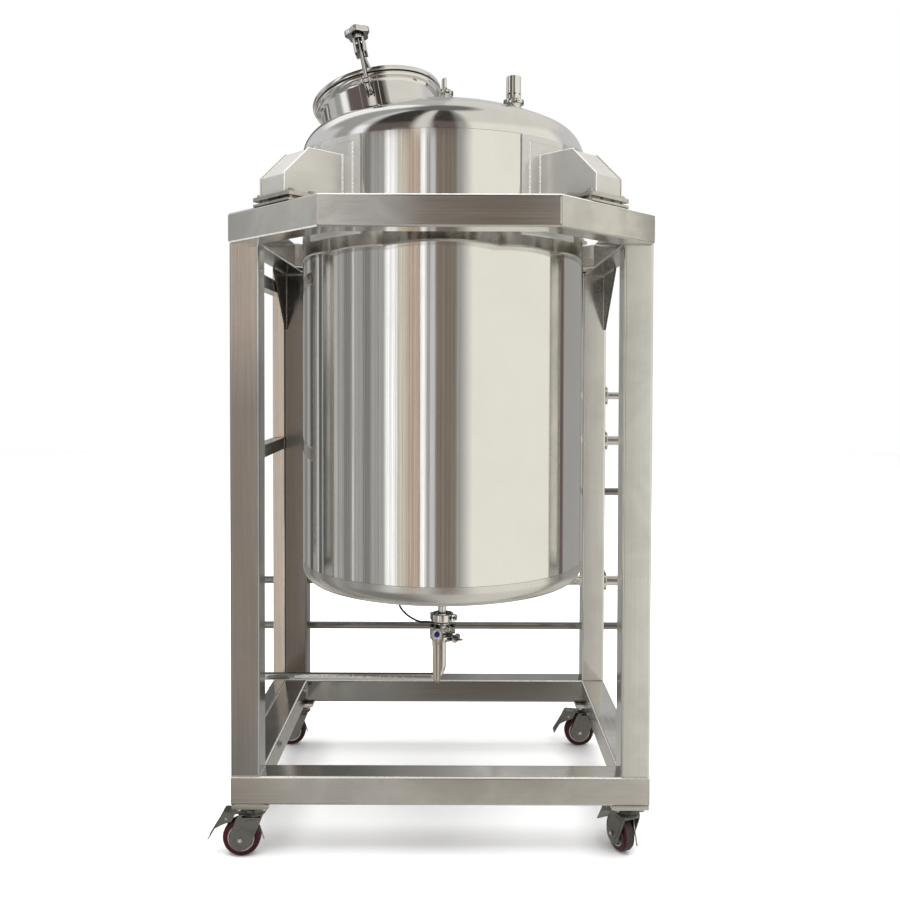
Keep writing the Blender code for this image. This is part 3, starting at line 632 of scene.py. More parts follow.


# Painted light and shade: the upright, front left, front right and left diagonal satins are lighter or darker
# copies of SATIN, for how the light falls on those pieces.
satin_x = satin("satin_along_x", SATIN, ALONG_X)
satin_y = satin("satin_along_y", SATIN, ALONG_Y)
satin_z = satin("satin_upright", (0.93, 0.91, 0.87), ALONG_Z)
satin_fl_painted_light = satin("satin_front_left_painted_light", (0.6, 0.6, 0.6), ALONG_Z, painted_light=LEFT_POST_LIGHT_AND_SHADE)
satin_fr = satin("satin_front_right", (0.88, 0.87, 0.84), ALONG_Z)
satin_left = satin("satin_left_diagonal", (0.84, 0.82, 0.78), ALONG_X, -math.pi / 4)
satin_right = satin("satin_right_diagonal", SATIN, ALONG_X, math.pi / 4)
# Painted shade: darker copies for the rear rail, the left rail and the rear left post, which lie in shade.
painted_shade_x = satin("painted_shade_along_x", (0.35, 0.34, 0.32), ALONG_X)
painted_shade_y = satin("painted_shade_along_y", (0.52, 0.505, 0.475), ALONG_Y)
painted_shade_z = satin("painted_shade_upright", (0.25, 0.24, 0.225), ALONG_Z)
print("ten brushed steels made")

# %% Mirror steels
BRIGHT = (0.88, 0.87, 0.85)
FINE = (0.004, 0.004, 0.02)
mirror = steel("mirror_shell", BRIGHT, (0.04, 0.08), (0.0025, 0.0025, 0.25), depth=0.02, smudge=0.03,
               waves=0.0002)
dome_mirror = steel("mirror_heads", BRIGHT, (0.07, 0.14), (0.02, 0.02, 0.02), depth=0.02, smudge=0.05,
                    waves=0.0006)
polished = steel("polished_fittings", BRIGHT, (0.06, 0.14), FINE, depth=0.03, smudge=0.06)
# The chrome gets painted shade on the sides of its round fittings.
chrome = steel("chrome_fittings", BRIGHT, (0.05, 0.12), FINE, depth=0.03, smudge=0.06,
               waves=0.0003, swell_size=(0.01, 0.01, 0.01), painted_side_shade=True)
print("four mirror steels made")

# %% Steels of welds, lugs and bolts
PALE_STEEL = (0.86, 0.85, 0.82)
# Painted highlight: a pale, half matt steel that stays bright from every side, for the tubes' upper edges and
# the lugs' edge bars and coarse welds.
highlight_steel = steel("painted_highlight_edge", PALE_STEEL, (0.22, 0.34), (0.004,) * 3, smudge=0.1, metal=0.5)
weld_steel = steel("ground_weld", (0.74, 0.71, 0.65), (0.2, 0.38), (0.002,) * 3, depth=0.5, smudge=0.35)
fine_weld = steel("fine_weld", (0.82, 0.8, 0.76), (0.14, 0.26), (0.003,) * 3, depth=0.2, smudge=0.12)
pad_steel = steel("pad_steel", (0.58, 0.57, 0.54), (0.08, 0.16), (0.02,) * 3, depth=0.04, smudge=0.08,
                  metal=0.5)
lug_steel = steel("lug_steel", (0.6, 0.585, 0.55), (0.14, 0.24), ALONG_X, math.pi / 4, depth=0.12,
                  metal=0.62)
# Painted shade: the gussets under the ring are painted nearly black for the shade that they lie in.
gusset_shade_steel = steel("gusset_painted_shade", (0.11, 0.105, 0.095), (0.2, 0.32), ALONG_Y)
zinc = steel("zinc_plate", (0.62, 0.62, 0.6), (0.22, 0.42), (0.012,) * 3, depth=0.08, smudge=0.22)
print("seven steels for small pieces made")

# %% [markdown]
# ## Plates, bars and bolts
# The small hardware needs four more shapes: a plate from its outline, a round bar along a path, a hex
# bolt with its washer, and a flat piece wrapped round the tank.


# %% Lines and plates
# Turns a plate drawn in X and Y so that its Y points up and its thickness lies along Y
SIDEWAYS = Matrix(((1, 0, 0, 0), (0, 0, -1, 0), (0, 1, 0, 0), (0, 0, 0, 1)))


def draw_line(name, points):
    """An open line of edges, extruded point by point from a single vertex."""
    points = [Vector(p) for p in points]
    leave_selection()
    bpy.ops.mesh.primitive_plane_add(size=0.01)
    piece = bpy.context.object
    piece.name = name
    bpy.ops.object.mode_set(mode="EDIT")
    bpy.ops.mesh.select_mode(type="VERT")
    bpy.ops.mesh.merge(type="CENTER")
    bpy.ops.transform.translate(value=points[0])
    for here, there in zip(points, points[1:]):
        bpy.ops.mesh.extrude_region_move(TRANSFORM_OT_translate={"value": there - here})
    return piece


def plate(name, outline, low, high, place=None):
    """A plate from its outline in X and Y, between two heights; place then moves it."""
    piece = draw_line(name, [(x, y, low) for x, y in outline])
    bpy.ops.mesh.select_all(action="SELECT")
    bpy.ops.mesh.edge_face_add()
    bpy.ops.mesh.extrude_region_move(TRANSFORM_OT_translate={"value": (0.0, 0.0, high - low)})
    bpy.ops.mesh.select_all(action="SELECT")
    bpy.ops.mesh.normals_make_consistent(inside=False)
    leave_edit()
    if place is not None:
        piece.matrix_world = place
    return bake_place(piece)


def regular(sides, radius, first=0.0):
    """The corners of a regular outline; first is the angle of the first corner in degrees."""
    turns = [math.radians(first + 360.0 * k / sides) for k in range(sides)]
    return [(radius * math.cos(turn), radius * math.sin(turn)) for turn in turns]


print("plate helpers ready")


# %% Round bars and bends
def round_bar(name, points, radius, closed=False, around=16):
    """A round bar along a path, by way of a bevelled curve."""
    piece = draw_line(name, points)
    if closed:
        bpy.ops.mesh.select_all(action="SELECT")
        bpy.ops.mesh.edge_face_add()
        bpy.ops.mesh.delete(type="ONLY_FACE")
    leave_edit()
    bpy.ops.object.convert(target="CURVE")
    line = bpy.context.object
    line.data.bevel_depth = radius
    line.data.bevel_resolution = around // 4 - 1
    line.data.use_fill_caps = not closed
    bpy.ops.object.convert(target="MESH")
    made = bpy.context.object
    made.name = name
    return bake_place(made)


def bent_path(corners, radius, steps=12):
    """The corners of a path, each inner one turned into a smooth bend."""
    path = [Vector(corners[0])]
    for before, here, after in zip(corners, corners[1:], corners[2:]):
        here = Vector(here)
        back = (Vector(before) - here).normalized()
        on = (Vector(after) - here).normalized()
        half = back.angle(on) / 2
        reach = radius / math.tan(half)
        centre = here + (back + on).normalized() * (radius / math.sin(half))
        start = (here + back * reach - centre).normalized()
        end = (here + on * reach - centre).normalized()
        path += [centre + start.slerp(end, k / steps) * radius for k in range(steps + 1)]
    path.append(Vector(corners[-1]))
    return path


print("bar helpers ready")


# %% Bolts, and plates wrapped round the tank
def hex_bolt(place, across, height, washer=True, shank=0.0):
    """A hex head with its base on the frame's XY plane; shank is how far the bolt goes below it."""
    parts = []
    rise = 0.0
    if washer:
        rise = across * 0.12
        parts.append(soften(cylinder("washer", place, across * 0.92, 0.0, rise, 32), rise * 0.3, 1))
    head = cylinder("head", place, across / math.sqrt(3.0), rise, rise + height, 6)
    dome = turned("dome", [(0.0, rise - 0.001), (across * 0.56, rise - 0.001),
                           (across * 0.56, rise + height * 0.8), (across * 0.49, rise + height),
                           (0.0, rise + height)], 32, place)
    combine(head, dome, "INTERSECT")
    parts.append(head)
    if shank:
        parts.append(cylinder("shank", place, across * 0.3, -shank, rise * 0.5, 24))
    return join_pieces("bolt", [painted(part, zinc) for part in parts])


def wrapped(piece, radius, toward):
    """Bends a flat piece round the tank: its X becomes the way round, its Y the way out."""
    for vertex in piece.data.vertices:
        turn = toward - vertex.co.x / radius
        reach = radius + vertex.co.y
        vertex.co = Vector((reach * math.cos(turn), AXIS_Y + reach * math.sin(turn), vertex.co.z))
    return piece


print("hardware helpers ready")

# %% [markdown]
# ## Square tube and welds
# The stand is three-inch square tube with softly rounded long edges: a block, with only its four long
# edges bevelled. A weld bead is one flattened drop, repeated by an array and joined to the tube that it
# belongs to. A bump texture could draw the ripples too, but it would stay flat seen from the side.

# %% Tubes, beads and painted parts
TUBE_ROUND = 0.006
BEAD_STEP = 0.0032


def painted(piece, coat):
    piece.data.materials.clear()
    piece.data.materials.append(coat)
    return piece


def painted_highlight_top_edges(piece):
    """Paints a highlight on the rounded upper edges: they get their own brighter steel."""
    pick(piece, "FACE", lambda centre, normal: 0.25 < normal.z < 0.95)
    bpy.ops.object.material_slot_add()
    piece.material_slots[-1].material = highlight_steel
    bpy.ops.object.material_slot_assign()
    leave_edit()
    return piece


def tube_between(name, low, high, axis, coat, width=TUBE_ROUND):
    """A square tube along one axis (0, 1 or 2) with its four long edges rounded."""
    piece = block(name, low, high)
    span = high[axis] - low[axis]
    round_edges(piece, width, 4, lambda a, b: abs((a - b)[axis]) > span * 0.95)
    return painted(piece, coat)


def bead(start, end, width, height, step):
    """A rippled weld between two points, lying along Z from the origin."""
    start, end = Vector(start), Vector(end)
    span = (end - start).length
    count = max(2, int(span / step))
    leave_selection()
    bpy.ops.mesh.primitive_uv_sphere_add(segments=8, ring_count=5, radius=1.0)
    drop_shape = bpy.context.object
    drop_shape.scale = (height, width / 2, step * 0.95)
    bake_place(drop_shape)
    bpy.ops.object.modifier_add(type="ARRAY")
    row = drop_shape.modifiers[-1]
    row.count = count
    row.use_relative_offset = False
    row.use_constant_offset = True
    row.constant_offset_displace = (0.0, 0.0, span / count)
    bpy.ops.object.modifier_apply(modifier=row.name)
    return drop_shape


def bead_at(start, end, outward, width=0.0055, height=0.0016, coat=None, step=BEAD_STEP):
    """A weld whose ripples lie flat on the surface that faces outward."""
    made = bead(start, end, width, height, step)
    run = (Vector(end) - Vector(start)).normalized()
    made.matrix_world = facing(Vector(start) + run * step * 0.5, run, outward)
    bake_place(made)
    return painted(made, coat or weld_steel)


print("tube and weld helpers ready")


# %% Posts
BEAD_INSET = 0.8 * TUBE_ROUND


def bead_round(low, high, z, inset, height=0.0016):
    """Four beads round a tube's end, sunk in by inset and clear of its rounded edges."""
    x0, x1, y0, y1 = low.x + inset, high.x - inset, low.y + inset, high.y - inset
    welds = []
    for y, out in ((y0, -1), (y1, 1)):
        welds.append(bead_at((x0 + BEAD_INSET, y, z), (x1 - BEAD_INSET, y, z), (0, out, 0), 0.005,
                             height, fine_weld))
    for x, out in ((x0, -1), (x1, 1)):
        welds.append(bead_at((x, y0 + BEAD_INSET, z), (x, y1 - BEAD_INSET, z), (out, 0, 0), 0.005,
                             height, fine_weld))
    return welds


def build_posts():
    for tag, coat in (("fl", satin_fl_painted_light), ("fr", satin_fr), ("rl", painted_shade_z), ("rr", satin_z)):
        name = "post_" + tag
        low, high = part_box(name)
        parts = [tube_between(name, low, high, 2, coat)]
        parts += bead_round(low, high, high.z - 0.0012, 0.0008)
        parts += bead_round(low, high, low.z + 0.001, 0.0006, 0.0009)
        finish_parts(name, parts)


build_posts()
print("four posts built")

# %% [markdown]
# ## Base
# The posts stand on a rectangle of the same tube. Under each of its corners a square foot plate is
# welded on, and the caster's own plate is bolted up against it with four hex heads. The rails could be
# one outline swept round, but on the real stand they are four lengths, so each is its own piece.


# %% Foot plates
# From the rail's end to the swivel, from there to a bolt, and half of the caster's own plate
FOOT_INSET = 0.05
BOLT_REACH = 0.033
PLATE_HALF = 0.043


def foot_bolts(x, y, z):
    """Four hex heads with washers that hold the caster's plate under a foot plate."""
    parts = []
    for dx in (-BOLT_REACH, BOLT_REACH):
        for dy in (-BOLT_REACH, BOLT_REACH):
            place = Matrix.Translation((x + dx, y + dy, z))
            parts.append(soften(cylinder("washer", place, 0.0085, -0.0012, 0.0, 24), 0.0003, 1))
            parts.append(soften(cylinder("head", place, 0.0068, -0.006, -0.001, 6), 0.0005, 2))
    return [painted(part, zinc) for part in parts]


def corner_foot(middle, half):
    """The foot plate, the caster's plate under it and its bolts."""
    foot = block("foot_plate", middle + Vector((-half, -half, FOOT_Z + 0.0036)),
                 middle + Vector((half, half, BASE_Z + 0.0005)))
    top = block("caster_plate", middle + Vector((-PLATE_HALF, -PLATE_HALF, FOOT_Z + 0.0002)),
                middle + Vector((PLATE_HALF, PLATE_HALF, FOOT_Z + 0.0034)))
    round_edges(top, 0.008, 5, lambda a, b: abs(a.z - b.z) > 0.002)
    return [painted(soften(foot, 0.0015, 2), satin_x), painted(soften(top, 0.0006, 2), zinc),
            *foot_bolts(middle.x, middle.y, FOOT_Z + 0.0002)]


print("foot plates ready")

# %% Base rails
# Where the rack's two bolts come through, behind the tank's axis and above the floor, and their heads
RACK_BOLTS = ((0.442, 0.2106), (-0.008, 0.2087))
RACK_HEAD = (0.013, 0.0065)


def build_cross_rails():
    """The front and rear rails, which carry the foot plates."""
    for name, out, coat in (("base_front", -1, satin_x), ("base_rear", 1, painted_shade_x)):
        low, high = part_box(name)
        y0, y1 = (low.y, low.y + TUBE) if out < 0 else (high.y - TUBE, high.y)
        rail = tube_between(name, Vector((low.x, y0, BASE_Z)), Vector((high.x, y1, BASE_TOP)), 0, coat)
        parts = [painted_highlight_top_edges(rail)]
        half = (high.y - low.y - 0.001) / 2
        for sign in (-1, 1):
            middle = Vector((sign * (HALF_W - FOOT_INSET), (low.y + high.y) / 2, 0.0))
            parts += corner_foot(middle, half)
            face = y0 if out < 0 else y1
            parts.append(bead_at((middle.x - half + 0.01, face, BASE_Z + 0.0008),
                                 (middle.x + half - 0.01, face, BASE_Z + 0.0008), (0, out, 0)))
        finish_parts(name, parts)


def build_long_rails():
    """The left and right rails, welded between the other two."""
    for name, face, coat in (("base_left", 1, painted_shade_y), ("base_right", -1, satin_y)):
        low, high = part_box(name)
        parts = [painted_highlight_top_edges(tube_between(name, low, high, 1, coat))]
        inner = high.x if face > 0 else low.x
        for y in (low.y + 0.0012, high.y - 0.0012):
            parts.append(bead_at((inner, y, low.z + 0.008), (inner, y, high.z - 0.008), (face, 0, 0)))
            parts.append(bead_at((low.x + 0.008, y, high.z - 0.0008), (high.x - 0.008, y, high.z - 0.0008),
                                 (0, 0, 1)))
        if name == "base_left":
            for y, z in RACK_BOLTS:
                parts.append(hex_bolt(facing((inner, AXIS_Y + y, z), (1, 0, 0)), *RACK_HEAD))
        finish_parts(name, parts)


build_cross_rails()
build_long_rails()
print("four base rails built")


# %% Gussets
def build_gussets():
    """A plate under the ring's corner each side: a block cut along its slope, with its welds."""
    for name in ("gusset_left", "gusset_right"):
        low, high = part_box(name)
        gusset = block(name, low, high)
        slope = Vector((0.0, -(high.z - low.z), -(high.y - low.y))).normalized()
        cut_off(gusset, (0.0, high.y - 0.008, low.z), slope)
        parts = [painted(soften(gusset, 0.0008, 2), gusset_shade_steel)]
        for x, out in ((low.x, -1), (high.x, 1)):
            top, rear = high.z - 0.001, high.y - 0.001
            for start, end in (((x, low.y + 0.004, top), (x, high.y - 0.004, top)),
                               ((x, rear, low.z + 0.004), (x, rear, high.z - 0.004))):
                parts.append(bead_at(start, end, (out, 0, 0), 0.006, 0.0022))
        finish_parts(name, parts)


build_gussets()
print("two gussets built")

# %% [markdown]
# ## The ring
# Eight lengths of tube make the octagon that carries the tank. They meet in mitres that are ground
# smooth and polished, so each outer corner shows one bright upright line. A tube could be drawn as a
# prism on its four plan corners, but a long block with rounded edges, cut off by its two mitre planes,
# keeps the rounding even right up to the cut.


# %% Ring lengths
SEAM_R = 0.0042


def ring_length(name, corners, coat):
    """A tube from four plan corners: a long block cut by its two mitres."""
    a, b, c, d = (Vector((x, y, 0.0)) for x, y in corners)
    along = (b - a).normalized()
    inward = Vector((-along.y, along.x, 0.0))
    if inward.dot(d - a) < 0:
        inward = -inward
    reach = 0.1
    span = (b - a).length
    frame_turn = Matrix((along, inward, along.cross(inward))).transposed().to_4x4()
    depth = (c - b).dot(inward)
    piece = block(name, (-reach, 0.0, -TUBE / 2), (span + reach, depth, TUBE / 2))
    round_edges(piece, TUBE_ROUND, 4, lambda p, q: abs(p.x - q.x) > span)
    painted_highlight_top_edges(painted(piece, coat))
    piece.matrix_world = Matrix.Translation(a + Vector((0.0, 0.0, RING_Z + TUBE / 2))) @ frame_turn
    bake_place(piece)
    for near, far, outside in ((a, d, -along), (b, c, along)):
        edge = far - near
        normal = Vector((edge.y, -edge.x, 0.0)).normalized()
        if normal.dot(outside) < 0:
            normal = -normal
        cut_off(piece, near, normal)
    return piece


def corner_seam(x, y, out_x, out_y):
    """The polished upright line of a ground mitre."""
    place = Matrix.Translation((x - out_x * SEAM_R, y - out_y * SEAM_R, RING_Z + TUBE / 2))
    half = (TUBE - 0.012) / 2
    return painted(soften(cylinder("seam", place, SEAM_R, -half, half, 20), 0.002, 3), polished)


print("ring helpers ready")


# %% Ring plan
def mirrored(corners, sign):
    return [(sign * x, y) for x, y in corners]


def ring_plan():
    """Each length's name, its four plan corners and its coat."""
    front, side = ring_low.y, ring_high.x
    cut_y = front + HALF_W - side
    mitre = side - TUBE * math.tan(math.radians(22.5))
    in_w = HALF_W - TUBE
    inner_y = AXIS_Y - mitre
    g = GAP / 2
    plan = [("ring_front", [(-side, front), (side, front), (mitre, front + TUBE), (-mitre, front + TUBE)],
             satin_x)]
    for name, sign, coat in (("ring_front_left", -1, satin_left), ("ring_front_right", 1, satin_right)):
        corners = [(side + 2 * g, front + g), (HALF_W - g, cut_y - g), (in_w - g, inner_y - g),
                   (mitre + 2 * g, front + TUBE + g)]
        plan.append((name, mirrored(corners, sign), coat))
    for name, sign in (("ring_left", -1), ("ring_right", 1)):
        corners = [(HALF_W, cut_y + g), (HALF_W, REAR_Y), (in_w, REAR_Y), (in_w, inner_y + g)]
        plan.append((name, mirrored(corners, sign), satin_y))
    low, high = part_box("ring_rear")
    plan.append(("ring_rear", [(low.x, low.y), (high.x, low.y), (high.x, high.y), (low.x, high.y)],
                 satin_x))
    for name, sign, coat in (("ring_rear_left", -1, satin_right), ("ring_rear_right", 1, satin_left)):
        low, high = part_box(name)
        reach, tip = (high.x, low.x) if sign > 0 else (-low.x, -high.x)
        total = reach + low.y + TUBE * math.sqrt(2)
        corners = [(reach, total - reach), (total - high.y, high.y), (tip, high.y), (reach, low.y)]
        plan.append((name, mirrored(corners, sign), coat))
    return plan


def build_ring():
    front, side = ring_low.y, ring_high.x
    for name, corners, coat in ring_plan():
        parts = [ring_length(name, corners, coat)]
        if name in ("ring_left", "ring_right"):
            sign = -1 if name == "ring_left" else 1
            parts.append(corner_seam(sign * HALF_W, front + HALF_W - side + 0.001, sign * 0.92, -0.38))
        if name == "ring_front":
            parts += [corner_seam(sign * (side - 0.001), front, sign * 0.38, -0.92) for sign in (-1, 1)]
        finish_parts(name, parts)


build_ring()
print("ring built from", len(ring_plan()), "lengths")

# %% [markdown]
# ## The tank
# The shell is rolled and both heads are pressed: a wide crown meets the rim in a tight knuckle. They
# could be cylinders and squashed spheres, but a section spun round the axis gives the true dish with
# its wall. The spin takes many more steps than the solids have, so that the mirrored room runs
# smoothly over them.

# %% Head sections
# Each dish is its crown radius, its depth and its knuckle radius
TOP_DISH = (0.8, 0.16, 0.085)
LOW_DISH = (1.4, 0.09, 0.042)
LOW_FLANGE = 0.014
WALL = 0.008
INNER_R = TANK_R - WALL
OUTLET_HOLE = 0.0102
STEPS = 192


def dish(shape, offset=0.0, points=34, bends=18):
    """A dished end from the axis outward, as (radius, height above its seam)."""
    crown, depth, knuckle = shape
    reach = TANK_R - knuckle
    top_centre = depth - crown
    drop_to = math.sqrt((crown - knuckle) ** 2 - reach ** 2)
    centre_z = top_centre + drop_to
    turn = math.atan2(reach, drop_to)
    section = []
    for k in range(points):
        angle = turn * k / (points - 1)
        section.append(((crown + offset) * math.sin(angle), top_centre + (crown + offset) * math.cos(angle)))
    for k in range(1, bends + 1):
        angle = turn + (math.pi / 2 - turn) * k / bends
        section.append((reach + (knuckle + offset) * math.sin(angle),
                        centre_z + (knuckle + offset) * math.cos(angle)))
    return section


def dish_height(shape, radius, offset=0.0):
    """Height of the dish above its seam, at a distance from the axis inside the crown."""
    crown, depth, _ = shape
    return depth - crown + math.sqrt((crown + offset) ** 2 - radius ** 2)


AXIS = Matrix.Translation((0.0, AXIS_Y, 0.0))
print("dish edge", [round(c, 4) for c in dish(TOP_DISH)[-1]], [round(c, 4) for c in dish(LOW_DISH)[-1]])

# %% The manway's own frame
# Its origin is the middle of the lid's rim, its Z the leaning axis, its X the way to the swing bolt
MAN_CENTRE = Vector((-0.197, AXIS_Y + 0.063, 2.0975))
MAN_AXIS = Vector((-0.1933, 0.1681, 0.9666)).normalized()
BOLT_TURN = math.radians(-3.4)
NECK_R = 0.17
NECK_WALL = 0.006
manway = facing(MAN_CENTRE, MAN_AXIS, (0.0, -1.0, 0.0)) @ Matrix.Rotation(BOLT_TURN, 4, "Z")
print("manway leans by", round(math.degrees(MAN_AXIS.angle((0.0, 0.0, 1.0))), 1), "degrees")

# %% Shell and heads
bottom_steel = steel("brushed_bottom", (0.8, 0.79, 0.76), (0.22, 0.3), (0.05, 0.05, 0.0015), depth=0.08,
                     smudge=0.06, waves=0.0004)


def build_shell():
    edge = 0.0006
    low, high = shell_low.z, shell_high.z
    outline = [(INNER_R, low), (TANK_R - edge, low), (TANK_R - edge * 0.3, low + edge * 0.3),
               (TANK_R, low + edge)]
    outline += [(TANK_R, low + (high - low) * k / 12) for k in range(1, 12)]
    outline += [(TANK_R, high - edge), (TANK_R - edge * 0.3, high - edge * 0.3), (TANK_R - edge, high),
                (INNER_R, high), (INNER_R, low)]
    finish_piece(turned("shell", outline, STEPS, AXIS), mirror, stands_for=("shell",))


def build_top_head():
    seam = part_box("top_head")[0].z
    outline = [(r, seam + z) for r, z in dish(TOP_DISH)] + [(TANK_R, seam), (INNER_R, seam)]
    outline += [(r, seam + z) for r, z in reversed(dish(TOP_DISH, -WALL))]
    head = turned("top_head", outline, STEPS, AXIS)
    combine(head, cylinder("bore", manway, NECK_R - NECK_WALL, -0.3, 0.05, 96), "DIFFERENCE")
    finish_piece(head, dome_mirror, stands_for=("top_head",))


def build_bottom_head():
    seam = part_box("bottom_head")[1].z
    edge = seam - LOW_FLANGE
    start = (OUTLET_HOLE, edge - dish_height(LOW_DISH, OUTLET_HOLE))
    outline = [start] + [(r, edge - z) for r, z in dish(LOW_DISH) if r > OUTLET_HOLE]
    outline += [(TANK_R, seam), (INNER_R, seam)]
    outline += [(r, edge - z) for r, z in reversed(dish(LOW_DISH, -WALL)) if r > OUTLET_HOLE]
    outline += [(OUTLET_HOLE, edge - dish_height(LOW_DISH, OUTLET_HOLE, -WALL)), start]
    finish_piece(turned("bottom_head", outline, STEPS, AXIS), bottom_steel,
                 stands_for=("bottom_head",))


build_shell()
build_top_head()
build_bottom_head()
print("shell and heads turned")

# %% [markdown]
# ## Lugs and load cells
# Four lugs hang the tank on the ring. Each is a sloped box of plate on two bent pads, and its side
# plates stand slightly proud of the sloped cover; a bar along each edge, in a steel with a painted
# highlight, gives the bright edge lines. Below it sits a weighing cell between two plates. Everything is
# modelled with X pointing out from the tank, then turned to its corner; the welds on the round pads are
# laid out flat first and bent round afterwards.

# %% Plates bent round the tank
PAD_T = 0.005
LUG_TURNS = {"fl": 225.0, "fr": 315.0, "rl": 135.0, "rr": 45.0}


def bent_plate(name, inner, thickness, half_angle, low, high, toward, axis=AXIS):
    """A plate bent round an axis: a part turn, which spins clockwise, with both ends filled."""
    outer = inner + thickness
    outline = [(inner, low), (outer, low), (outer, high), (inner, high), (inner, low)]
    start = axis @ Matrix.Rotation(toward + half_angle, 4, "Z")
    piece = turned(name, outline, 24, start, 2 * half_angle)
    pick(piece, "VERT", lambda co: True)
    bpy.ops.mesh.fill_holes(sides=0)
    bpy.ops.mesh.select_all(action="SELECT")
    bpy.ops.mesh.normals_make_consistent(inside=False)
    leave_edit()
    return soften(piece, 0.001, 2)


def turn_out(parts, toward):
    """Turns parts modelled with X outwards to their side of the tank."""
    for part in parts:
        part.matrix_world = AXIS @ Matrix.Rotation(toward, 4, "Z")
        bake_place(part)
    return parts


print("bent plates ready")

# %% Lug boxes
# Distances out from the tank's axis, half the width, and heights above the floor
LUG_OUT = 0.58
LUG_RIDGE = 0.508
LUG_HALF = 0.0535
LUG_TOP = 1.842
LUG_LIP = 1.771
LUG_LOW = 1.7245
LUG_PLATE = 0.004
COVER_INSET = 0.002


def lug_box(toward):
    root = TANK_R + 0.0035
    normal = Vector((LUG_TOP - LUG_LIP, 0.0, LUG_OUT - LUG_RIDGE)).normalized()
    ridge = Vector((LUG_RIDGE, 0.0, LUG_TOP))
    parts = []
    for sign in (-1, 1):
        y0, y1 = span_on(sign, LUG_HALF, LUG_HALF - LUG_PLATE)
        side = block("side_plate", (root, y0, LUG_LOW), (LUG_OUT, y1, LUG_TOP))
        parts.append(soften(cut_off(side, ridge, normal), 0.0009, 2))
    half = LUG_HALF - LUG_PLATE * 0.5
    cover = block("cover", (root, -half, LUG_LOW + 0.0005),
                  (LUG_OUT - COVER_INSET, half, LUG_TOP - COVER_INSET))
    cut_off(cover, ridge - normal * COVER_INSET * 1.2, normal)
    parts.append(soften(cover, 0.003, 3, 20.0))
    for part in parts:
        painted(part, lug_steel)
    for sign in (-1, 1):
        y = sign * (LUG_HALF - 0.0015)
        rim = [(root, y, LUG_TOP - 0.001), (LUG_RIDGE, y, LUG_TOP - 0.001), (LUG_OUT - 0.001, y, LUG_LIP),
               (LUG_OUT - 0.001, y, LUG_LOW + 0.002)]
        # The rim bar carries the painted highlight steel, for the bright edge lines.
        parts.append(painted(round_bar("rim_weld", rim, 0.0019, around=12), highlight_steel))
    return turn_out(parts, toward)


print("lug boxes ready")

# %% Lug pads, welds and the four lugs
# Half of each pad's way round the tank, and the heights of its ends
PAD_FACE = TANK_R + GAP + PAD_T
BIG_HALF = math.radians(15.0)
SMALL_HALF = math.radians(11.7)
BIG_LOW, BIG_HIGH = 1.64, 1.889
SMALL_LOW, SMALL_HIGH = 1.67, 1.87
COARSE_STEP = 0.0046


def lug_welds(toward):
    """Coarse beads with a painted highlight up both sides, fine ones along the pad's ends and under the box's
    top.
    """
    top_face = PAD_FACE + PAD_T
    reach = SMALL_HALF * PAD_FACE
    welds = []
    for sign in (-1, 1):
        x = sign * (LUG_HALF + 0.0005)
        seam = bead_at((x, 0.0, LUG_LOW + 0.001), (x, 0.0, LUG_TOP), (0, 1, 0), 0.0078, 0.0034, highlight_steel,
                       COARSE_STEP)
        welds.append(wrapped(seam, top_face, toward))
        x = sign * reach
        seam = bead_at((x, 0.0, SMALL_LOW), (x, 0.0, SMALL_HIGH), (0, 1, 0), 0.0072, 0.0034, highlight_steel,
                       COARSE_STEP)
        welds.append(wrapped(seam, PAD_FACE, toward))
    for half, z, height, face in ((reach, SMALL_LOW, 0.0026, PAD_FACE), (reach, SMALL_HIGH, 0.0026, PAD_FACE),
                                  (LUG_HALF, LUG_TOP, 0.0022, top_face)):
        seam = bead_at((-half, 0.0, z), (half, 0.0, z), (0, 1, 0), 0.0055, height, fine_weld)
        welds.append(wrapped(seam, face, toward))
    return welds


def build_lugs():
    for tag, degrees in LUG_TURNS.items():
        toward = math.radians(degrees)
        inner = TANK_R + GAP
        big = bent_plate("big_pad", inner, PAD_T, BIG_HALF, BIG_LOW, BIG_HIGH, toward)
        small = bent_plate("small_pad", inner + PAD_T / 2, PAD_T * 1.5, SMALL_HALF, SMALL_LOW, SMALL_HIGH,
                           toward)
        parts = [painted(big, pad_steel), painted(small, pad_steel)]
        finish_parts("lug_" + tag, parts + lug_box(toward) + lug_welds(toward))


build_lugs()
print("four lugs built")

# %% Load cells
# The plates' edges, out from the tank's axis, their width, and half of the beam's length
CELL_IN = 0.495
CELL_OUT = 0.5865
CELL_W = 0.155
CELL_BEAM = 0.05


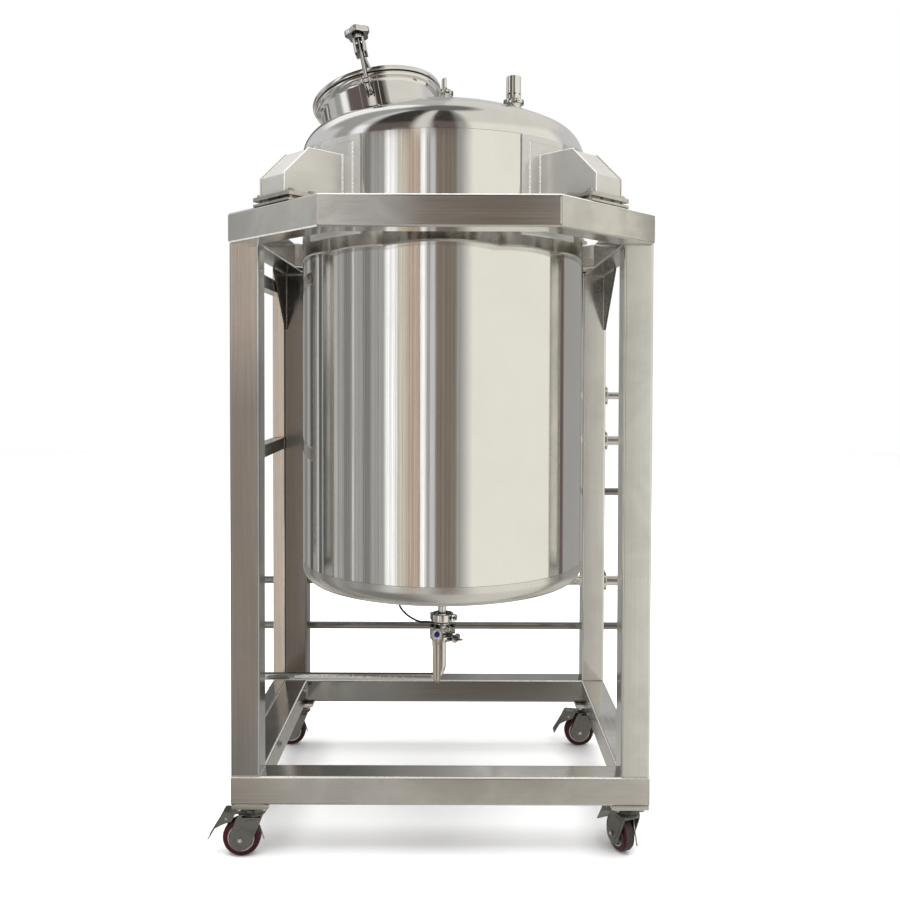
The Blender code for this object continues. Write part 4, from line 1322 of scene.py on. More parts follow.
def load_cell(toward):
    """A machined weighing beam between two bolted plates."""
    low, high = RING_TOP + GAP, LUG_LOW - GAP
    parts = []
    for name, z0, z1 in (("lower", low, low + 0.006), ("upper", high - 0.0095, high)):
        sheet = block(name, (CELL_IN, -CELL_W / 2, z0), (CELL_OUT, CELL_W / 2, z1))
        round_edges(sheet, 0.006, 4, lambda a, b: abs(a.z - b.z) > 0.004)
        parts.append(painted(soften(sheet, 0.0008, 2), weld_steel))
    middle = Vector(((CELL_IN + CELL_OUT) / 2, 0.0, (low + high) / 2))
    beam = block("beam", (middle.x - 0.0165, -CELL_BEAM, low + 0.005),
                 (middle.x + 0.0165, CELL_BEAM, high - 0.008))
    soften(beam, 0.0012, 2)
    combine(beam, cylinder("hole", facing(middle, (1, 0, 0)), 0.0052, -0.03, 0.03, 32), "DIFFERENCE")
    parts.append(painted(beam, zinc))
    gland = turned("gland", [(0.0, -0.002), (0.0048, -0.002), (0.0048, 0.006), (0.0036, 0.0075),
                             (0.0036, 0.012), (0.0022, 0.014), (0.0, 0.014)], 24,
                   facing(middle - Vector((0.0, CELL_BEAM, 0.0)), (0, -1, 0)))
    parts.append(painted(gland, polished))
    for sign in (-1, 1):
        for reach in (CELL_IN + 0.016, CELL_OUT - 0.016):
            foot = Matrix.Translation((reach, sign * (CELL_W / 2 - 0.0115), high))
            parts.append(hex_bolt(foot, 0.013, 0.0062, True, high - low - 0.004))
    return turn_out(parts, toward)


for tag, degrees in LUG_TURNS.items():
    finish_parts("load_cell_" + tag, load_cell(math.radians(degrees)))
print("four load cells built")

# %% [markdown]
# ## Clamps
# Every pipe joint here is the same hygienic clamp: a two-part band drawn together by one bolt with a
# wing nut. A copied mesh would do for equal sizes, but the band's width and the nut's size differ from
# joint to joint. So a function builds each one, with its bolt on local +X, and a matrix places it.


# %% One clamp
# Half of the wing nut from the side: distance from the bolt, height along it
WING = ((0.003, 0.0085), (0.0045, 0.0125), (0.011, 0.0185), (0.014, 0.018), (0.015, 0.015),
        (0.0125, 0.0105), (0.005, 0.0068))


def clamp(place, radius=0.033, half=0.0095, scale_nut=1.0, wing_turn=0.61):
    """Band, hinge, ears, bolt and wing nut round local Z, centred on the joint."""
    inside = radius - 0.008
    band = turned("band", both_ways([(inside, -half * 0.8), (radius - 0.0022, -half),
                                     (radius - 0.0006, -half + 0.0008), (radius, -half + 0.0024)]), 56)
    slit = block("slit", (inside - 0.004, -0.0016, -0.02), (radius + 0.004, 0.0016, 0.02))
    parts = [combine(band, slit, "DIFFERENCE")]
    k = scale_nut
    for sign in (-1, 1):
        y0, y1 = span_on(sign, 0.0016, 0.0062 * k)
        ear = block("ear", (radius - 0.004, y0, -half * 0.85), (radius + 0.0105 * k, y1, half * 0.85))
        round_edges(ear, 0.0035 * k, 4, lambda a, b: abs(a.y - b.y) > 0.002 and a.x > radius + 0.005 * k)
        parts.append(soften(ear, 0.0004, 1))
    middle = radius + 0.0055 * k
    bolt = facing((middle, 0.0, 0.0), (0, -1, 0), (1, 0, 0))
    parts.append(cylinder("bolt", bolt, 0.0026 * k, -0.011 * k, 0.02 * k, 20))
    parts.append(turned("eye", [(0.0, -0.0125 * k), (0.0042 * k, -0.0125 * k), (0.0048 * k, -0.011 * k),
                                (0.0048 * k, -0.0062 * k), (0.0, -0.0062 * k)], 24, bolt))
    parts.append(turned("nut", [(0.0, 0.0062 * k), (0.0056 * k, 0.0062 * k), (0.005 * k, 0.012 * k),
                                (0.0036 * k, 0.015 * k), (0.0, 0.015 * k)], 28, bolt))
    for sign in (-1, 1):
        blade = plate("wing", [(sign * x * k, z * k) for x, z in WING], -0.0013 * k, 0.0013 * k,
                      bolt @ Matrix.Rotation(wing_turn, 4, "Z") @ SIDEWAYS)
        parts.append(soften(blade, 0.0008 * k, 2))
    hinge = Matrix.Translation((-radius - 0.0012, 0.0, 0.0))
    parts.append(soften(cylinder("hinge", hinge, 0.0042, -half * 0.9, half * 0.9, 24), 0.0006, 2))
    made = painted(join_pieces("clamp", parts), chrome)
    made.matrix_world = place
    return bake_place(made)


print("clamp ready")

# %% [markdown]
# ## Manway
# The manway is the way into the tank for cleaning, and it leans outwards at the rear left. Its neck ends
# in a rolled flange, a dark gasket lies between the flange and the lid, and one swing bolt with a star
# knob holds the lid's arm down. The round pieces are turned in the manway's own tilted frame, which is
# easier to read than turning each piece upright and tilting it later.


# %% Rubber and plastic
def plain_coat(name, colour, rough, speck=0.15, scale=120.0, gloss=0.5):
    """A non-metal coat with fine mottling and a slight grain in its surface."""
    mat = bpy.data.materials.new(name)
    mat.use_nodes = True
    tree = mat.node_tree
    shader = tree.nodes["Principled BSDF"]
    shader.inputs["Specular IOR Level"].default_value = gloss
    place = node(tree, "TexCoord").outputs["Object"]
    fine = node(tree, "TexNoise", None, {"Vector": place, "Scale": scale, "Detail": 4.0})
    broad = node(tree, "TexNoise", None, {"Vector": place, "Scale": scale / 12.0, "Detail": 3.0})
    darker = tuple(c * (1.0 - speck) for c in colour)
    lighter = tuple(min(1.0, c * (1.0 + speck)) for c in colour)
    patch = between(tree, broad.outputs["Fac"], 0.35, 0.65)
    tint = blend_colours(tree, patch, (*darker, 1.0), (*lighter, 1.0))
    tree.links.new(tint, shader.inputs["Base Color"])
    tree.links.new(between(tree, fine.outputs["Fac"], 0.3, 0.7, rough - 0.06, rough + 0.06),
                   shader.inputs["Roughness"])
    bump = node(tree, "Bump", None, {"Strength": 0.15, "Distance": 0.0003, "Height": fine.outputs["Fac"]})
    tree.links.new(bump.outputs["Normal"], shader.inputs["Normal"])
    return mat


black_rubber = plain_coat("black_rubber", (0.014, 0.014, 0.015), 0.48)
print("plain coat ready")


# %% Meeting the top head
def dome_body(extra):
    """The solid under the top head's outside, used to trim what stands on it."""
    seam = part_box("top_head")[0].z
    outline = [(r, seam + z) for r, z in dish(TOP_DISH, extra, 24, 10)]
    outline += [(TANK_R + extra, seam - 0.05), (0.0, seam - 0.05)]
    return turned("dome_body", outline, 128, AXIS)


def on_dome(place, radius, angle):
    """Where a tube's wall, seen in its own frame, meets the outside of the top head."""
    crown, depth, knuckle = TOP_DISH
    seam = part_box("top_head")[0].z
    reach = TANK_R - knuckle
    rise = math.sqrt((crown - knuckle) ** 2 - reach ** 2)
    middle = Vector((0.0, AXIS_Y, seam + depth - crown))
    start = place @ Vector((radius * math.cos(angle), radius * math.sin(angle), 0.0)) - middle
    along = place.to_3x3().col[2].normalized()
    half = start.dot(along)
    travel = -half + math.sqrt(half * half - start.length_squared + crown * crown)
    hit = start + along * travel + middle
    if math.hypot(hit.x, hit.y - AXIS_Y) <= crown * math.sin(math.atan2(reach, rise)):
        return hit
    low, high = travel - 0.25, travel
    for _ in range(40):
        travel = (low + high) / 2
        hit = start + along * travel + middle
        flat = math.hypot(hit.x, hit.y - AXIS_Y)
        outside = math.hypot(flat - reach, max(hit.z - middle.z - rise, 0.0)) - knuckle
        if flat < reach:
            outside = hit.z - seam - dish_height(TOP_DISH, flat)
        if outside > 0:
            high = travel
        else:
            low = travel
    return hit


def dome_weld(place, radius, size, count):
    """The weld where a tube meets the top head."""
    line = [on_dome(place, radius, math.tau * k / count) for k in range(count)]
    return painted(round_bar("dome_weld", line, size, closed=True, around=12), weld_steel)


print("top head's outside ready")

# %% Neck and gasket
LIP_R = 0.185
LIP_TOP = -0.0145
LID_FOOT = -0.0123
BOLT_R = 0.209
BOLT_S = -0.0473
EAR_R = 0.0125
NECK_INNER = NECK_R - NECK_WALL
bolt_pin = manway @ Matrix.Translation((BOLT_R, 0.0, BOLT_S)) @ SIDEWAYS


def bolt_ears():
    """The two ears on the neck that hold the swing bolt's pin, and the pin."""
    root = NECK_R - 0.003
    outline = [(root, BOLT_S - 0.013), (BOLT_R, BOLT_S - EAR_R)]
    for degrees in range(15, 180, 15):
        turn = math.radians(degrees)
        outline.append((BOLT_R + EAR_R * math.sin(turn), BOLT_S - EAR_R * math.cos(turn)))
    outline += [(BOLT_R, BOLT_S + EAR_R), (root, BOLT_S + 0.013)]
    ears = [soften(plate("ear", outline, *span_on(sign, 0.0085, 0.0135), manway @ SIDEWAYS), 0.0008, 2)
            for sign in (-1, 1)]
    pin = turned("pin", [(0.0, -0.016), (0.0038, -0.016), (0.0045, -0.0152), (0.0045, 0.014),
                         (0.0068, 0.014), (0.0068, 0.016), (0.006, 0.0166), (0.0, 0.0166)], 28, bolt_pin)
    return [painted(part, chrome) for part in (*ears, pin)]


def build_neck():
    outline = [(NECK_INNER, -0.2), (NECK_R, -0.2), (NECK_R, -0.036), (NECK_R + 0.0015, -0.031),
               (NECK_R + 0.005, -0.0272), (LIP_R - 0.0045, -0.0262), (LIP_R - 0.0015, -0.025),
               (LIP_R, -0.0225), (LIP_R, LIP_TOP - 0.0025), (LIP_R - 0.001, LIP_TOP - 0.0007),
               (LIP_R - 0.0025, LIP_TOP), (NECK_INNER + 0.001, LIP_TOP), (NECK_INNER, LIP_TOP - 0.001),
               (NECK_INNER, -0.2)]
    neck = turned("manway_neck", outline, 128, manway)
    pad = bent_plate("pad", NECK_R - 0.001, 0.005, math.radians(9.0), -0.12, -0.034, 0.0, manway)
    for part in (neck, pad):
        combine(part, dome_body(GAP), "DIFFERENCE")
    hinge = soften(block("hinge", (-BOLT_R - 0.014, -0.03, -0.06), (-NECK_R + 0.003, 0.03, -0.032)),
                   0.004, 4)
    hinge.matrix_world = manway
    bake_place(hinge)
    parts = [painted(part, polished) for part in (neck, pad, hinge)]
    finish_parts("manway_neck", parts + bolt_ears() + [dome_weld(manway, NECK_R, 0.0035, 96)])


def build_gasket():
    inner = NECK_INNER + 0.001
    gasket = turned("manway_gasket", [(inner, LIP_TOP + 0.0001), (LIP_R - 0.003, LIP_TOP + 0.0001),
                                      (LIP_R - 0.0024, LIP_TOP + 0.0008), (LIP_R - 0.003, LID_FOOT - 0.0001),
                                      (inner, LID_FOOT - 0.0001), (inner, LIP_TOP + 0.0001)], 128, manway)
    finish_piece(gasket, black_rubber)


build_neck()
build_gasket()
print("neck and gasket built")

# %% Lid and its arm
LID_R = 0.19
LID_RISE = 0.05
# The lid's arm from the side: distance from the lid's axis, height above the lid
ARM_LINE = ((0.195, 0.03), (0.195, 0.074), (0.165, 0.062), (0.1, 0.066), (0.0, 0.082),
            (-0.12, 0.074), (-0.221, -0.006), (-0.221, -0.026), (-0.203, -0.026), (-0.12, 0.054),
            (0.0, 0.058), (0.1, 0.043), (0.184, 0.03))
FORK_LINE = ((0.223, 0.03), (0.223, 0.074), (0.188, 0.074), (0.186, 0.03))


def build_lid():
    outline = [(0.0, LID_FOOT), (LID_R - 0.003, LID_FOOT), (LID_R - 0.0008, LID_FOOT + 0.0008),
               (LID_R, LID_FOOT + 0.0028), (LID_R, -0.003), (LID_R - 0.0008, -0.001),
               (LID_R - 0.0035, 0.0), (LID_R - 0.027, 0.0012), (LID_R - 0.03, 0.002)]
    for k in range(1, 13):
        rise = math.sin(k / 12 * math.pi / 2)
        outline.append(((LID_R - 0.03) * (1.0 - k / 12), 0.002 + (LID_RISE - 0.002) * rise))
    hub = [(0.0, LID_RISE - 0.01), (0.02, LID_RISE - 0.01), (0.0245, LID_RISE - 0.002),
           (0.0205, LID_RISE + 0.004), (0.02, 0.084), (0.0185, 0.0885), (0.0155, 0.09), (0.0, 0.09)]
    parts = [painted(turned("lid", outline, 128, manway), polished),
             painted(turned("hub", hub, 48, manway), polished)]
    bars = [plate("arm", ARM_LINE, -0.005, 0.005, manway @ SIDEWAYS)]
    for sign in (-1, 1):
        bars.append(plate("prong", FORK_LINE, *span_on(sign, 0.009, 0.016), manway @ SIDEWAYS))
    back = block("fork_back", (0.0, -0.0155, 0.032), (0.008, 0.0155, 0.072))
    back.matrix_world = manway @ Matrix.Translation((0.186, 0.0, 0.0))
    bars.append(bake_place(back))
    parts += [painted(soften(bar, 0.0015, 3), chrome) for bar in bars]
    for name, x, z, radius, half in (("hinge_pin", -BOLT_R - 0.003, -0.018, 0.006, 0.022),
                                     ("bridge", 0.0, 0.07, 0.005, 0.0185)):
        place = manway @ Matrix.Translation((x, 0.0, z)) @ SIDEWAYS
        parts.append(painted(soften(cylinder(name, place, radius, -half, half, 28), 0.001, 2), chrome))
    finish_parts("manway_lid", parts)


build_lid()
print("lid built")


# %% Swing bolt
KNOB_S = 0.0917
THREAD_PITCH = 0.0015


def lobed(outer, inner, lobes, steps):
    """A star knob's outline."""
    points = []
    for k in range(steps):
        turn = math.tau * k / steps
        radius = (outer + inner) / 2 + (outer - inner) / 2 * math.cos(lobes * turn)
        points.append((radius * math.cos(turn), radius * math.sin(turn)))
    return points


def build_swing_bolt():
    eye = turned("eye", both_ways([(0.0047, -0.0052), (0.0052, -0.006), (0.0078, -0.006),
                                   (0.0085, -0.005)]), 40, bolt_pin)
    upright = manway @ Matrix.Translation((BOLT_R, 0.0, 0.0))
    thread = [(0.0, BOLT_S + 0.007), (0.0048, BOLT_S + 0.007), (0.0048, BOLT_S + 0.03)]
    z = BOLT_S + 0.03
    while z < KNOB_S - 0.02:
        thread += [(0.005, z + THREAD_PITCH * 0.25), (0.0043, z + THREAD_PITCH * 0.75)]
        z += THREAD_PITCH
    thread += [(0.0048, z), (0.0048, KNOB_S), (0.0, KNOB_S)]
    shaft = turned("shaft", thread, 28, upright)
    star = plate("star", lobed(0.0355, 0.0285, 5, 80), KNOB_S - 0.009, KNOB_S + 0.009, upright)
    soften(star, 0.0044, 5)
    hub = turned("hub", [(0.0, KNOB_S - 0.0155), (0.0092, KNOB_S - 0.0155), (0.0102, KNOB_S - 0.0145),
                         (0.011, KNOB_S - 0.012), (0.014, KNOB_S - 0.0095), (0.014, KNOB_S + 0.0105),
                         (0.012, KNOB_S + 0.014), (0.0085, KNOB_S + 0.0158), (0.0, KNOB_S + 0.016)],
                 40, upright)
    finish_parts("swing_bolt", [painted(part, chrome) for part in (eye, shaft, star, hub)],
                 "bolt")


build_swing_bolt()
print("swing bolt built")

# %% [markdown]
# ## Fittings on the top head
# The relief valve lets pressure out: a short capped cylinder with a rim and a row of vent holes. The
# taller fitting at the back ends in a narrow slanted tip above a nut. Both stand on a stub with a clamp,
# so one function makes that foot; the stub is cut to the dome by a boolean, as a pipe would be.


# %% Foot of a fitting
STUB_BORE = 0.0125
DISC_R = 0.025


def fitting_place(name):
    """The upright frame through the middle of a node, and the node's top."""
    low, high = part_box(name)
    return Matrix.Translation(((low.x + high.x) / 2, (low.y + high.y) / 2, 0.0)), high.z


def fitting_foot(place, foot, drop_to, flare, clamp_turn):
    """Stub, clamp and weld; flare is the stub's (radius, height) line from its pipe to its disc."""
    pipe_r = flare[0][0]
    outline = [(STUB_BORE, foot - drop_to), (pipe_r, foot - drop_to)]
    outline += [(radius, foot + height) for radius, height in flare]
    outline += [(DISC_R, foot + 0.003), (DISC_R, foot + 0.0068), (STUB_BORE, foot + 0.0068), outline[0]]
    stub = turned("stub", outline, 48, place)
    combine(stub, dome_body(GAP), "DIFFERENCE")
    joint = place @ Matrix.Translation((0.0, 0.0, foot + 0.007)) @ Matrix.Rotation(clamp_turn, 4, "Z")
    return [painted(stub, polished), clamp(joint, 0.0285, 0.0062, 0.75),
            dome_weld(place, pipe_r, 0.0022, 40)]


print("fitting foot ready")

# %% Relief valve
RELIEF_R = 0.0205


def build_relief():
    place, top = fitting_place("relief_valve")
    foot = top - 0.078
    parts = fitting_foot(place, foot, 0.03, ((0.019, -0.007), (0.0215, -0.002), (0.0245, 0.0)), -1.42)
    base = foot + 0.0072
    body = turned("body", [(0.0, base), (DISC_R, base), (DISC_R, base + 0.004), (0.024, base + 0.006),
                           (RELIEF_R, base + 0.008), (RELIEF_R, top - 0.003),
                           (RELIEF_R - 0.0008, top - 0.0008), (RELIEF_R - 0.003, top), (0.0, top)],
                  64, place)
    for k in range(8):
        turn = Matrix.Rotation(math.radians(-84.0 + 45.0 * k), 4, "Z")
        drill = place @ turn @ facing((0.0, 0.0, base + 0.0208), (1, 0, 0))
        combine(body, cylinder("drill", drill, 0.0027, 0.014, 0.03, 20), "DIFFERENCE")
        # Painted shade: a black plug in each drilled hole stands for the dark inside it.
        parts.append(painted(cylinder("hole", drill, 0.0028, 0.013, RELIEF_R - 0.0018, 20), black_rubber))
    finish_parts("relief_valve", parts + [painted(body, polished)])


build_relief()
print("relief valve built")

# %% Vent
VENT_R = 0.0082


def build_vent():
    place, top = fitting_place("vent")
    foot = top - 0.0545
    parts = fitting_foot(place, foot, 0.125, ((0.0155, -0.01), (0.019, -0.004), (0.024, 0.0)), -1.15)
    base = foot + 0.0072
    cap = turned("cap", [(0.0, base), (DISC_R, base), (DISC_R, base + 0.0035), (0.015, base + 0.0062),
                         (VENT_R, base + 0.0075), (VENT_R, top), (0.0, top)], 48, place)
    cut_off(cap, place @ Vector((VENT_R * 0.5, 0.0, top)), Vector((-0.4, 0.0, 0.92)).normalized())
    nut = plate("nut", regular(6, 0.0105), base + 0.0065, base + 0.0115, place)
    parts += [painted(soften(cap, 0.0016, 3, 25.0), polished), painted(soften(nut, 0.001, 3), polished)]
    finish_parts("vent", parts)


build_vent()
print("vent built")

# %% [markdown]
# ## Outlet, valve and drain
# The tank empties through its lowest point: a short pipe leaves the bottom head, a clamp joins it to the
# ball valve, and a second clamp joins the drain pipe, which bends to the left. The pipe is a bevelled
# curve, because a swept circle keeps its round section through the bend.

# %% Outlet pipe and drain pipe
# Radii, heights above the floor, and the drain's open end at the left
OUT_PIPE_R = 0.0122
DRAIN_R = 0.011
VALVE_Z = 0.546
CLAMP_HIGH_Z = 0.582
CLAMP_LOW_Z = 0.522
DRAIN_Z = 0.4057
DRAIN_END = -0.6
blue_cap = plain_coat("blue_cap", (0.004, 0.014, 0.13), 0.45, gloss=0.2)


def ferrule(place, pipe_r, disc_r, rise, face=0.0):
    """A clamp ferrule whose disc face is at height face, its pipe end at height rise."""
    way = 1.0 if rise > face else -1.0
    steps = ((disc_r - 0.0006, 0.0), (disc_r, 0.0006), (disc_r, 0.0024), (disc_r - 0.004, 0.0036),
             (pipe_r + 0.0022, 0.0046), (pipe_r + 0.0004, 0.0075), (pipe_r, 0.011))
    outline = [(0.0, face), *((radius, face + way * height) for radius, height in steps),
               (pipe_r, rise), (0.0, rise)]
    return painted(turned("ferrule", outline, 48, place), chrome)


def axis_clamp(z, turn, radius, half, scale_nut, wing_turn=0.61):
    """A clamp on the tank's axis at a height."""
    place = AXIS @ Matrix.Translation((0.0, 0.0, z)) @ Matrix.Rotation(turn, 4, "Z")
    return clamp(place, radius, half, scale_nut, wing_turn)


def build_outlet():
    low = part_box("bottom_head")[0].z
    collar_r = OUT_PIPE_R + 0.0045
    pipe = cylinder("pipe", AXIS, OUT_PIPE_R, CLAMP_HIGH_Z + 0.006, low - 0.0006, 48)
    collar = turned("collar", [(OUT_PIPE_R, low - 0.006), (collar_r, low - 0.0012), (collar_r, low - 0.0006),
                               (OUT_PIPE_R, low - 0.0006), (OUT_PIPE_R, low - 0.006)], 48, AXIS)
    parts = [painted(pipe, chrome), painted(collar, weld_steel),
             ferrule(AXIS, OUT_PIPE_R, 0.0252, CLAMP_HIGH_Z + 0.018, CLAMP_HIGH_Z + 0.0004),
             axis_clamp(CLAMP_HIGH_Z, -0.35, 0.033, 0.011, 1.05)]
    finish_parts("outlet_pipe", parts)


def build_drain():
    path = bent_path([(0.0, AXIS_Y, CLAMP_LOW_Z - 0.008), (0.0, AXIS_Y, DRAIN_Z),
                      (DRAIN_END + 0.02, AXIS_Y, DRAIN_Z)], 0.034, 16)
    end = facing((DRAIN_END + 0.0004, AXIS_Y, DRAIN_Z), (1, 0, 0))
    parts = [painted(round_bar("pipe", path, DRAIN_R, around=32), chrome),
             ferrule(AXIS, DRAIN_R, 0.025, CLAMP_LOW_Z - 0.016, CLAMP_LOW_Z - 0.0002),
             ferrule(end, DRAIN_R, 0.0252, 0.024, 0.0),
             axis_clamp(CLAMP_LOW_Z, -0.22, 0.032, 0.0075, 1.75, 0.17)]
    finish_parts("drain_pipe", parts)


build_outlet()
build_drain()
print("outlet and drain built")

# %% [markdown]
# ## Ball valve and lever
# The valve body is a turned piece with a second one across it, and a flange, a nut and a neck each side,
# held together by four ties. The lever starts as a grid, so that its outline and its hollow front come
# from two short formulas, and a Solidify modifier gives the sheet its thickness.

# %% Ball valve
TIE_R = 0.0126
handle_at = Vector(joints["valve_turn"]["pos_m"])


def valve_sides(across):
    """The flange, nut and neck on both sides of the valve, and the four ties between the flanges."""
    parts = []
    for sign, nut_end in ((-1, 0.036), (1, 0.038)):
        flange = plate("flange", regular(8, 0.0166, 22.5), *span_on(sign, 0.0215, 0.015), across)
        nut = plate("nut", regular(6, 0.0148), *span_on(sign, 0.0255, nut_end), across)
        parts += [soften(flange, 0.0012, 3), soften(nut, 0.0012, 3),
                  cylinder("neck", across, 0.011, *span_on(sign, 0.02, 0.03), 32)]
    for k in range(4):
        turn = math.radians(45 + 90 * k)
        tie = facing((-0.0235, AXIS_Y + TIE_R * math.cos(turn), VALVE_Z + TIE_R * math.sin(turn)), (1, 0, 0))
        parts.append(soften(cylinder("tie", tie, 0.0024, -0.0015, 0.0485, 6), 0.0005, 1))
    return parts


def build_valve():
    top, low = CLAMP_HIGH_Z - 0.0004, CLAMP_LOW_Z + 0.006
    body = turned("body", [(0.0, low + 0.002), (0.0245, low + 0.002), (0.025, low + 0.0026),
                           (0.025, low + 0.0046), (0.02, low + 0.0062), (0.016, low + 0.01),
                           (0.015, low + 0.013), (0.015, top - 0.026), (0.016, top - 0.023),
                           (0.02, top - 0.019), (0.025, top - 0.0174), (0.025, top - 0.0154),
                           (0.0245, top - 0.0148), (0.0, top - 0.0148)], 64, AXIS)
    across = facing((0.0, AXIS_Y, VALVE_Z), (1, 0, 0))
    barrel = turned("barrel", both_ways([(0.0, -0.024), (0.012, -0.024), (0.013, -0.023),
                                         (0.0145, -0.014), (0.0155, 0.0)], closed=False), 48, across)
    stem = turned("stem", [(0.0, -0.046), (0.0135, -0.046), (0.0135, -0.03), (0.012, -0.028),
                           (0.011, -0.026), (0.011, -0.0165), (0.009, -0.015), (0.009, -0.01),
                           (0.0058, -0.0095), (0.0058, 0.0044), (0.005, 0.005), (0.0, 0.005)],
                  48, facing(handle_at, (0, -1, 0)))
    parts = [painted(part, chrome) for part in (body, barrel, *valve_sides(across), stem)]
    finish_parts("valve_body", parts)


build_valve()
print("ball valve built")

# %% The lever's coat
# Painted reflection: tints from the lever's left edge to its right edge
LEVER_PAINTED_REFLECTION = ((0.0, (0.3, 0.3, 0.29)), (0.12, (0.8, 0.79, 0.77)), (0.22, (0.34, 0.29, 0.24)),
               (0.32, (0.5, 0.34, 0.22)), (0.41, (0.95, 0.85, 0.7)), (0.46, (0.11, 0.055, 0.03)),
               (0.53, (0.1, 0.05, 0.025)), (0.58, (0.9, 0.72, 0.55)), (0.68, (0.95, 0.9, 0.82)),
               (0.78, (0.3, 0.27, 0.24)), (0.88, (0.85, 0.84, 0.82)), (1.0, (0.25, 0.25, 0.24)))
LEVER_HALF = 0.011


def lever_painted_reflection():
    """Polished sheet with upright brown and cream lines painted on its hollow front as a reflection."""
    coat = steel("lever_painted_reflection", BRIGHT, (0.08, 0.16), FINE, depth=0.03, smudge=0.06, metal=0.8)
    tree = coat.node_tree
    shader = tree.nodes["Principled BSDF"]
    place = facet_of(tree, node(tree, "TexCoord").outputs["Object"])
    across = between(tree, place["X"], handle_at.x - LEVER_HALF, handle_at.x + LEVER_HALF)
    # Painted reflection: the lines cover the lever only below its eye
    below = between(tree, place["Z"], handle_at.z - 0.016, handle_at.z - 0.01, 1.0, 0.0)
    old = shader.inputs["Base Color"].links[0].from_socket
    marked = blend_colours(tree, 1.0, old, ramp(tree, across, LEVER_PAINTED_REFLECTION), "MULTIPLY")
    tree.links.new(blend_colours(tree, below, old, marked), shader.inputs["Base Color"])
    return coat


print("lever coat ready")


# %% The lever
def lever_half_width(z):
    """Half the lever's width at a height below or above its pivot."""
    if z >= 0.0:
        return 0.015 * math.sqrt(max(1.0 - (z / 0.015) ** 2, 0.0004))
    if z > -0.06:
        return 0.015 + (0.0116 - 0.015) * math.sin(math.pi / 2 * -z / 0.06)
    if z > -0.132:
        return 0.0116 - 0.0012 * (-z - 0.06) / 0.072
    return 0.0104 * math.sqrt(max(1.0 - ((-z - 0.132) / 0.0062) ** 2, 0.001))


def build_lever():
    """A grid bent into the lever's outline and hollow front, then given its thickness."""
    leave_selection()
    bpy.ops.mesh.primitive_grid_add(x_subdivisions=16, y_subdivisions=72, size=1.0)
    lever = bpy.context.object
    top, low = 0.0149, -0.138
    for vertex in lever.data.vertices:
        share = vertex.co.y + 0.5
        z = low + (top - low) * (0.5 - 0.5 * math.cos(math.pi * share))
        x = vertex.co.x * 2.0 * lever_half_width(z)
        hollow = min(max((-z - 0.012) / 0.018, 0.0), 1.0) * 0.0046
        vertex.co = Vector((x, hollow * (1.0 - (2.0 * vertex.co.x) ** 2) - 0.0016, z))
    choose(lever)
    bpy.ops.object.modifier_add(type="SOLIDIFY")
    lever.modifiers[-1].thickness = 0.0022
    lever.modifiers[-1].offset = 0.0
    bpy.ops.object.modifier_apply(modifier=lever.modifiers[-1].name)
    soften(lever, 0.0006, 2, 50.0)
    lever.matrix_world = Matrix.Translation(handle_at)
    bake_place(lever)
    pivot = facing(handle_at, (0, -1, 0))
    bore = 0.0062
    combine(lever, cylinder("hole", pivot, bore, -0.01, 0.01, 48), "DIFFERENCE")
    cuff = turned("cuff", [(bore, -0.0088), (0.0102, -0.0088), (0.011, -0.008), (0.011, 0.004),
                           (0.0104, 0.0052), (0.0086, 0.0056), (bore, 0.0056), (bore, -0.0088)], 48, pivot)
    cap = turned("cap", [(0.0, 0.0055), (0.0082, 0.0055), (0.0084, 0.0062), (0.008, 0.0072),
                         (0.0062, 0.008), (0.0, 0.0083)], 48, pivot)
    parts = [painted(lever, lever_painted_reflection()), painted(cuff, polished), painted(cap, blue_cap)]
    finish_parts("valve_handle", parts, "handle")


build_lever()
print("lever built")

# %% [markdown]
# ## Sensor cable
# A thin black cable runs from a gland in the bottom head to the valve. A Bezier curve could be drawn by
# hand, but a short list of the places that it passes, joined by a smooth line, is easier to read and to
# change. The gland's sleeve hides where it starts.

# %% Sensor cable
CABLE_R = 0.0032
SPAN_STEPS = 8
# Places that the cable passes, measured from the tank's axis
CABLE = ((-0.135, 0.03, 0.665), (-0.1335, 0.03, 0.64), (-0.126, 0.031, 0.605),
         (-0.11, 0.033, 0.583), (-0.09, 0.036, 0.567), (-0.067, 0.04, 0.556),
         (-0.045, 0.041, 0.555), (-0.03, 0.037, 0.555), (-0.018, 0.03, 0.5535),
         (-0.012, 0.024, 0.549), (-0.012, 0.016, VALVE_Z))


def through(points):
    """A smooth line through all the points (Catmull-Rom)."""
    points = [Vector(p) for p in points]
    ends = [points[0] * 2 - points[1]] + points + [points[-1] * 2 - points[-2]]
    line = []
    for a, b, c, d in zip(ends, ends[1:], ends[2:], ends[3:]):
        for k in range(SPAN_STEPS):
            t = k / SPAN_STEPS
            line.append(0.5 * (2 * b + (c - a) * t + (2 * a - 5 * b + 4 * c - d) * t ** 2
                               + (3 * b - a - 3 * c + d) * t ** 3))
    line.append(points[-1])
    return line


def build_cable():
    route = [AXIS @ Vector(place) for place in CABLE]
    cable = painted(round_bar("cable", through(route), CABLE_R, around=12), black_rubber)
    gland = facing(route[0], (0, 0, -1))
    sleeve = turned("sleeve", [(0.0, -0.004), (0.0062, -0.004), (0.0062, 0.004), (0.005, 0.006),
                               (0.005, 0.011), (0.003, 0.014), (0.0, 0.014)], 28, gland)
    finish_parts("probe_cable", [cable, painted(sleeve, black_rubber)])


build_cable()
print("cable built")

# %% [markdown]
# ## Pipes and rods at the back
# Three pipes for the tank's heating jacket leave the shell with small ring welds, turn to the right and
# end in clamps. Three plain rods cross the back, held to the rear posts by saddles. Each weld follows
# the line where its pipe meets the round shell, worked out from both radii, so no boolean is needed.

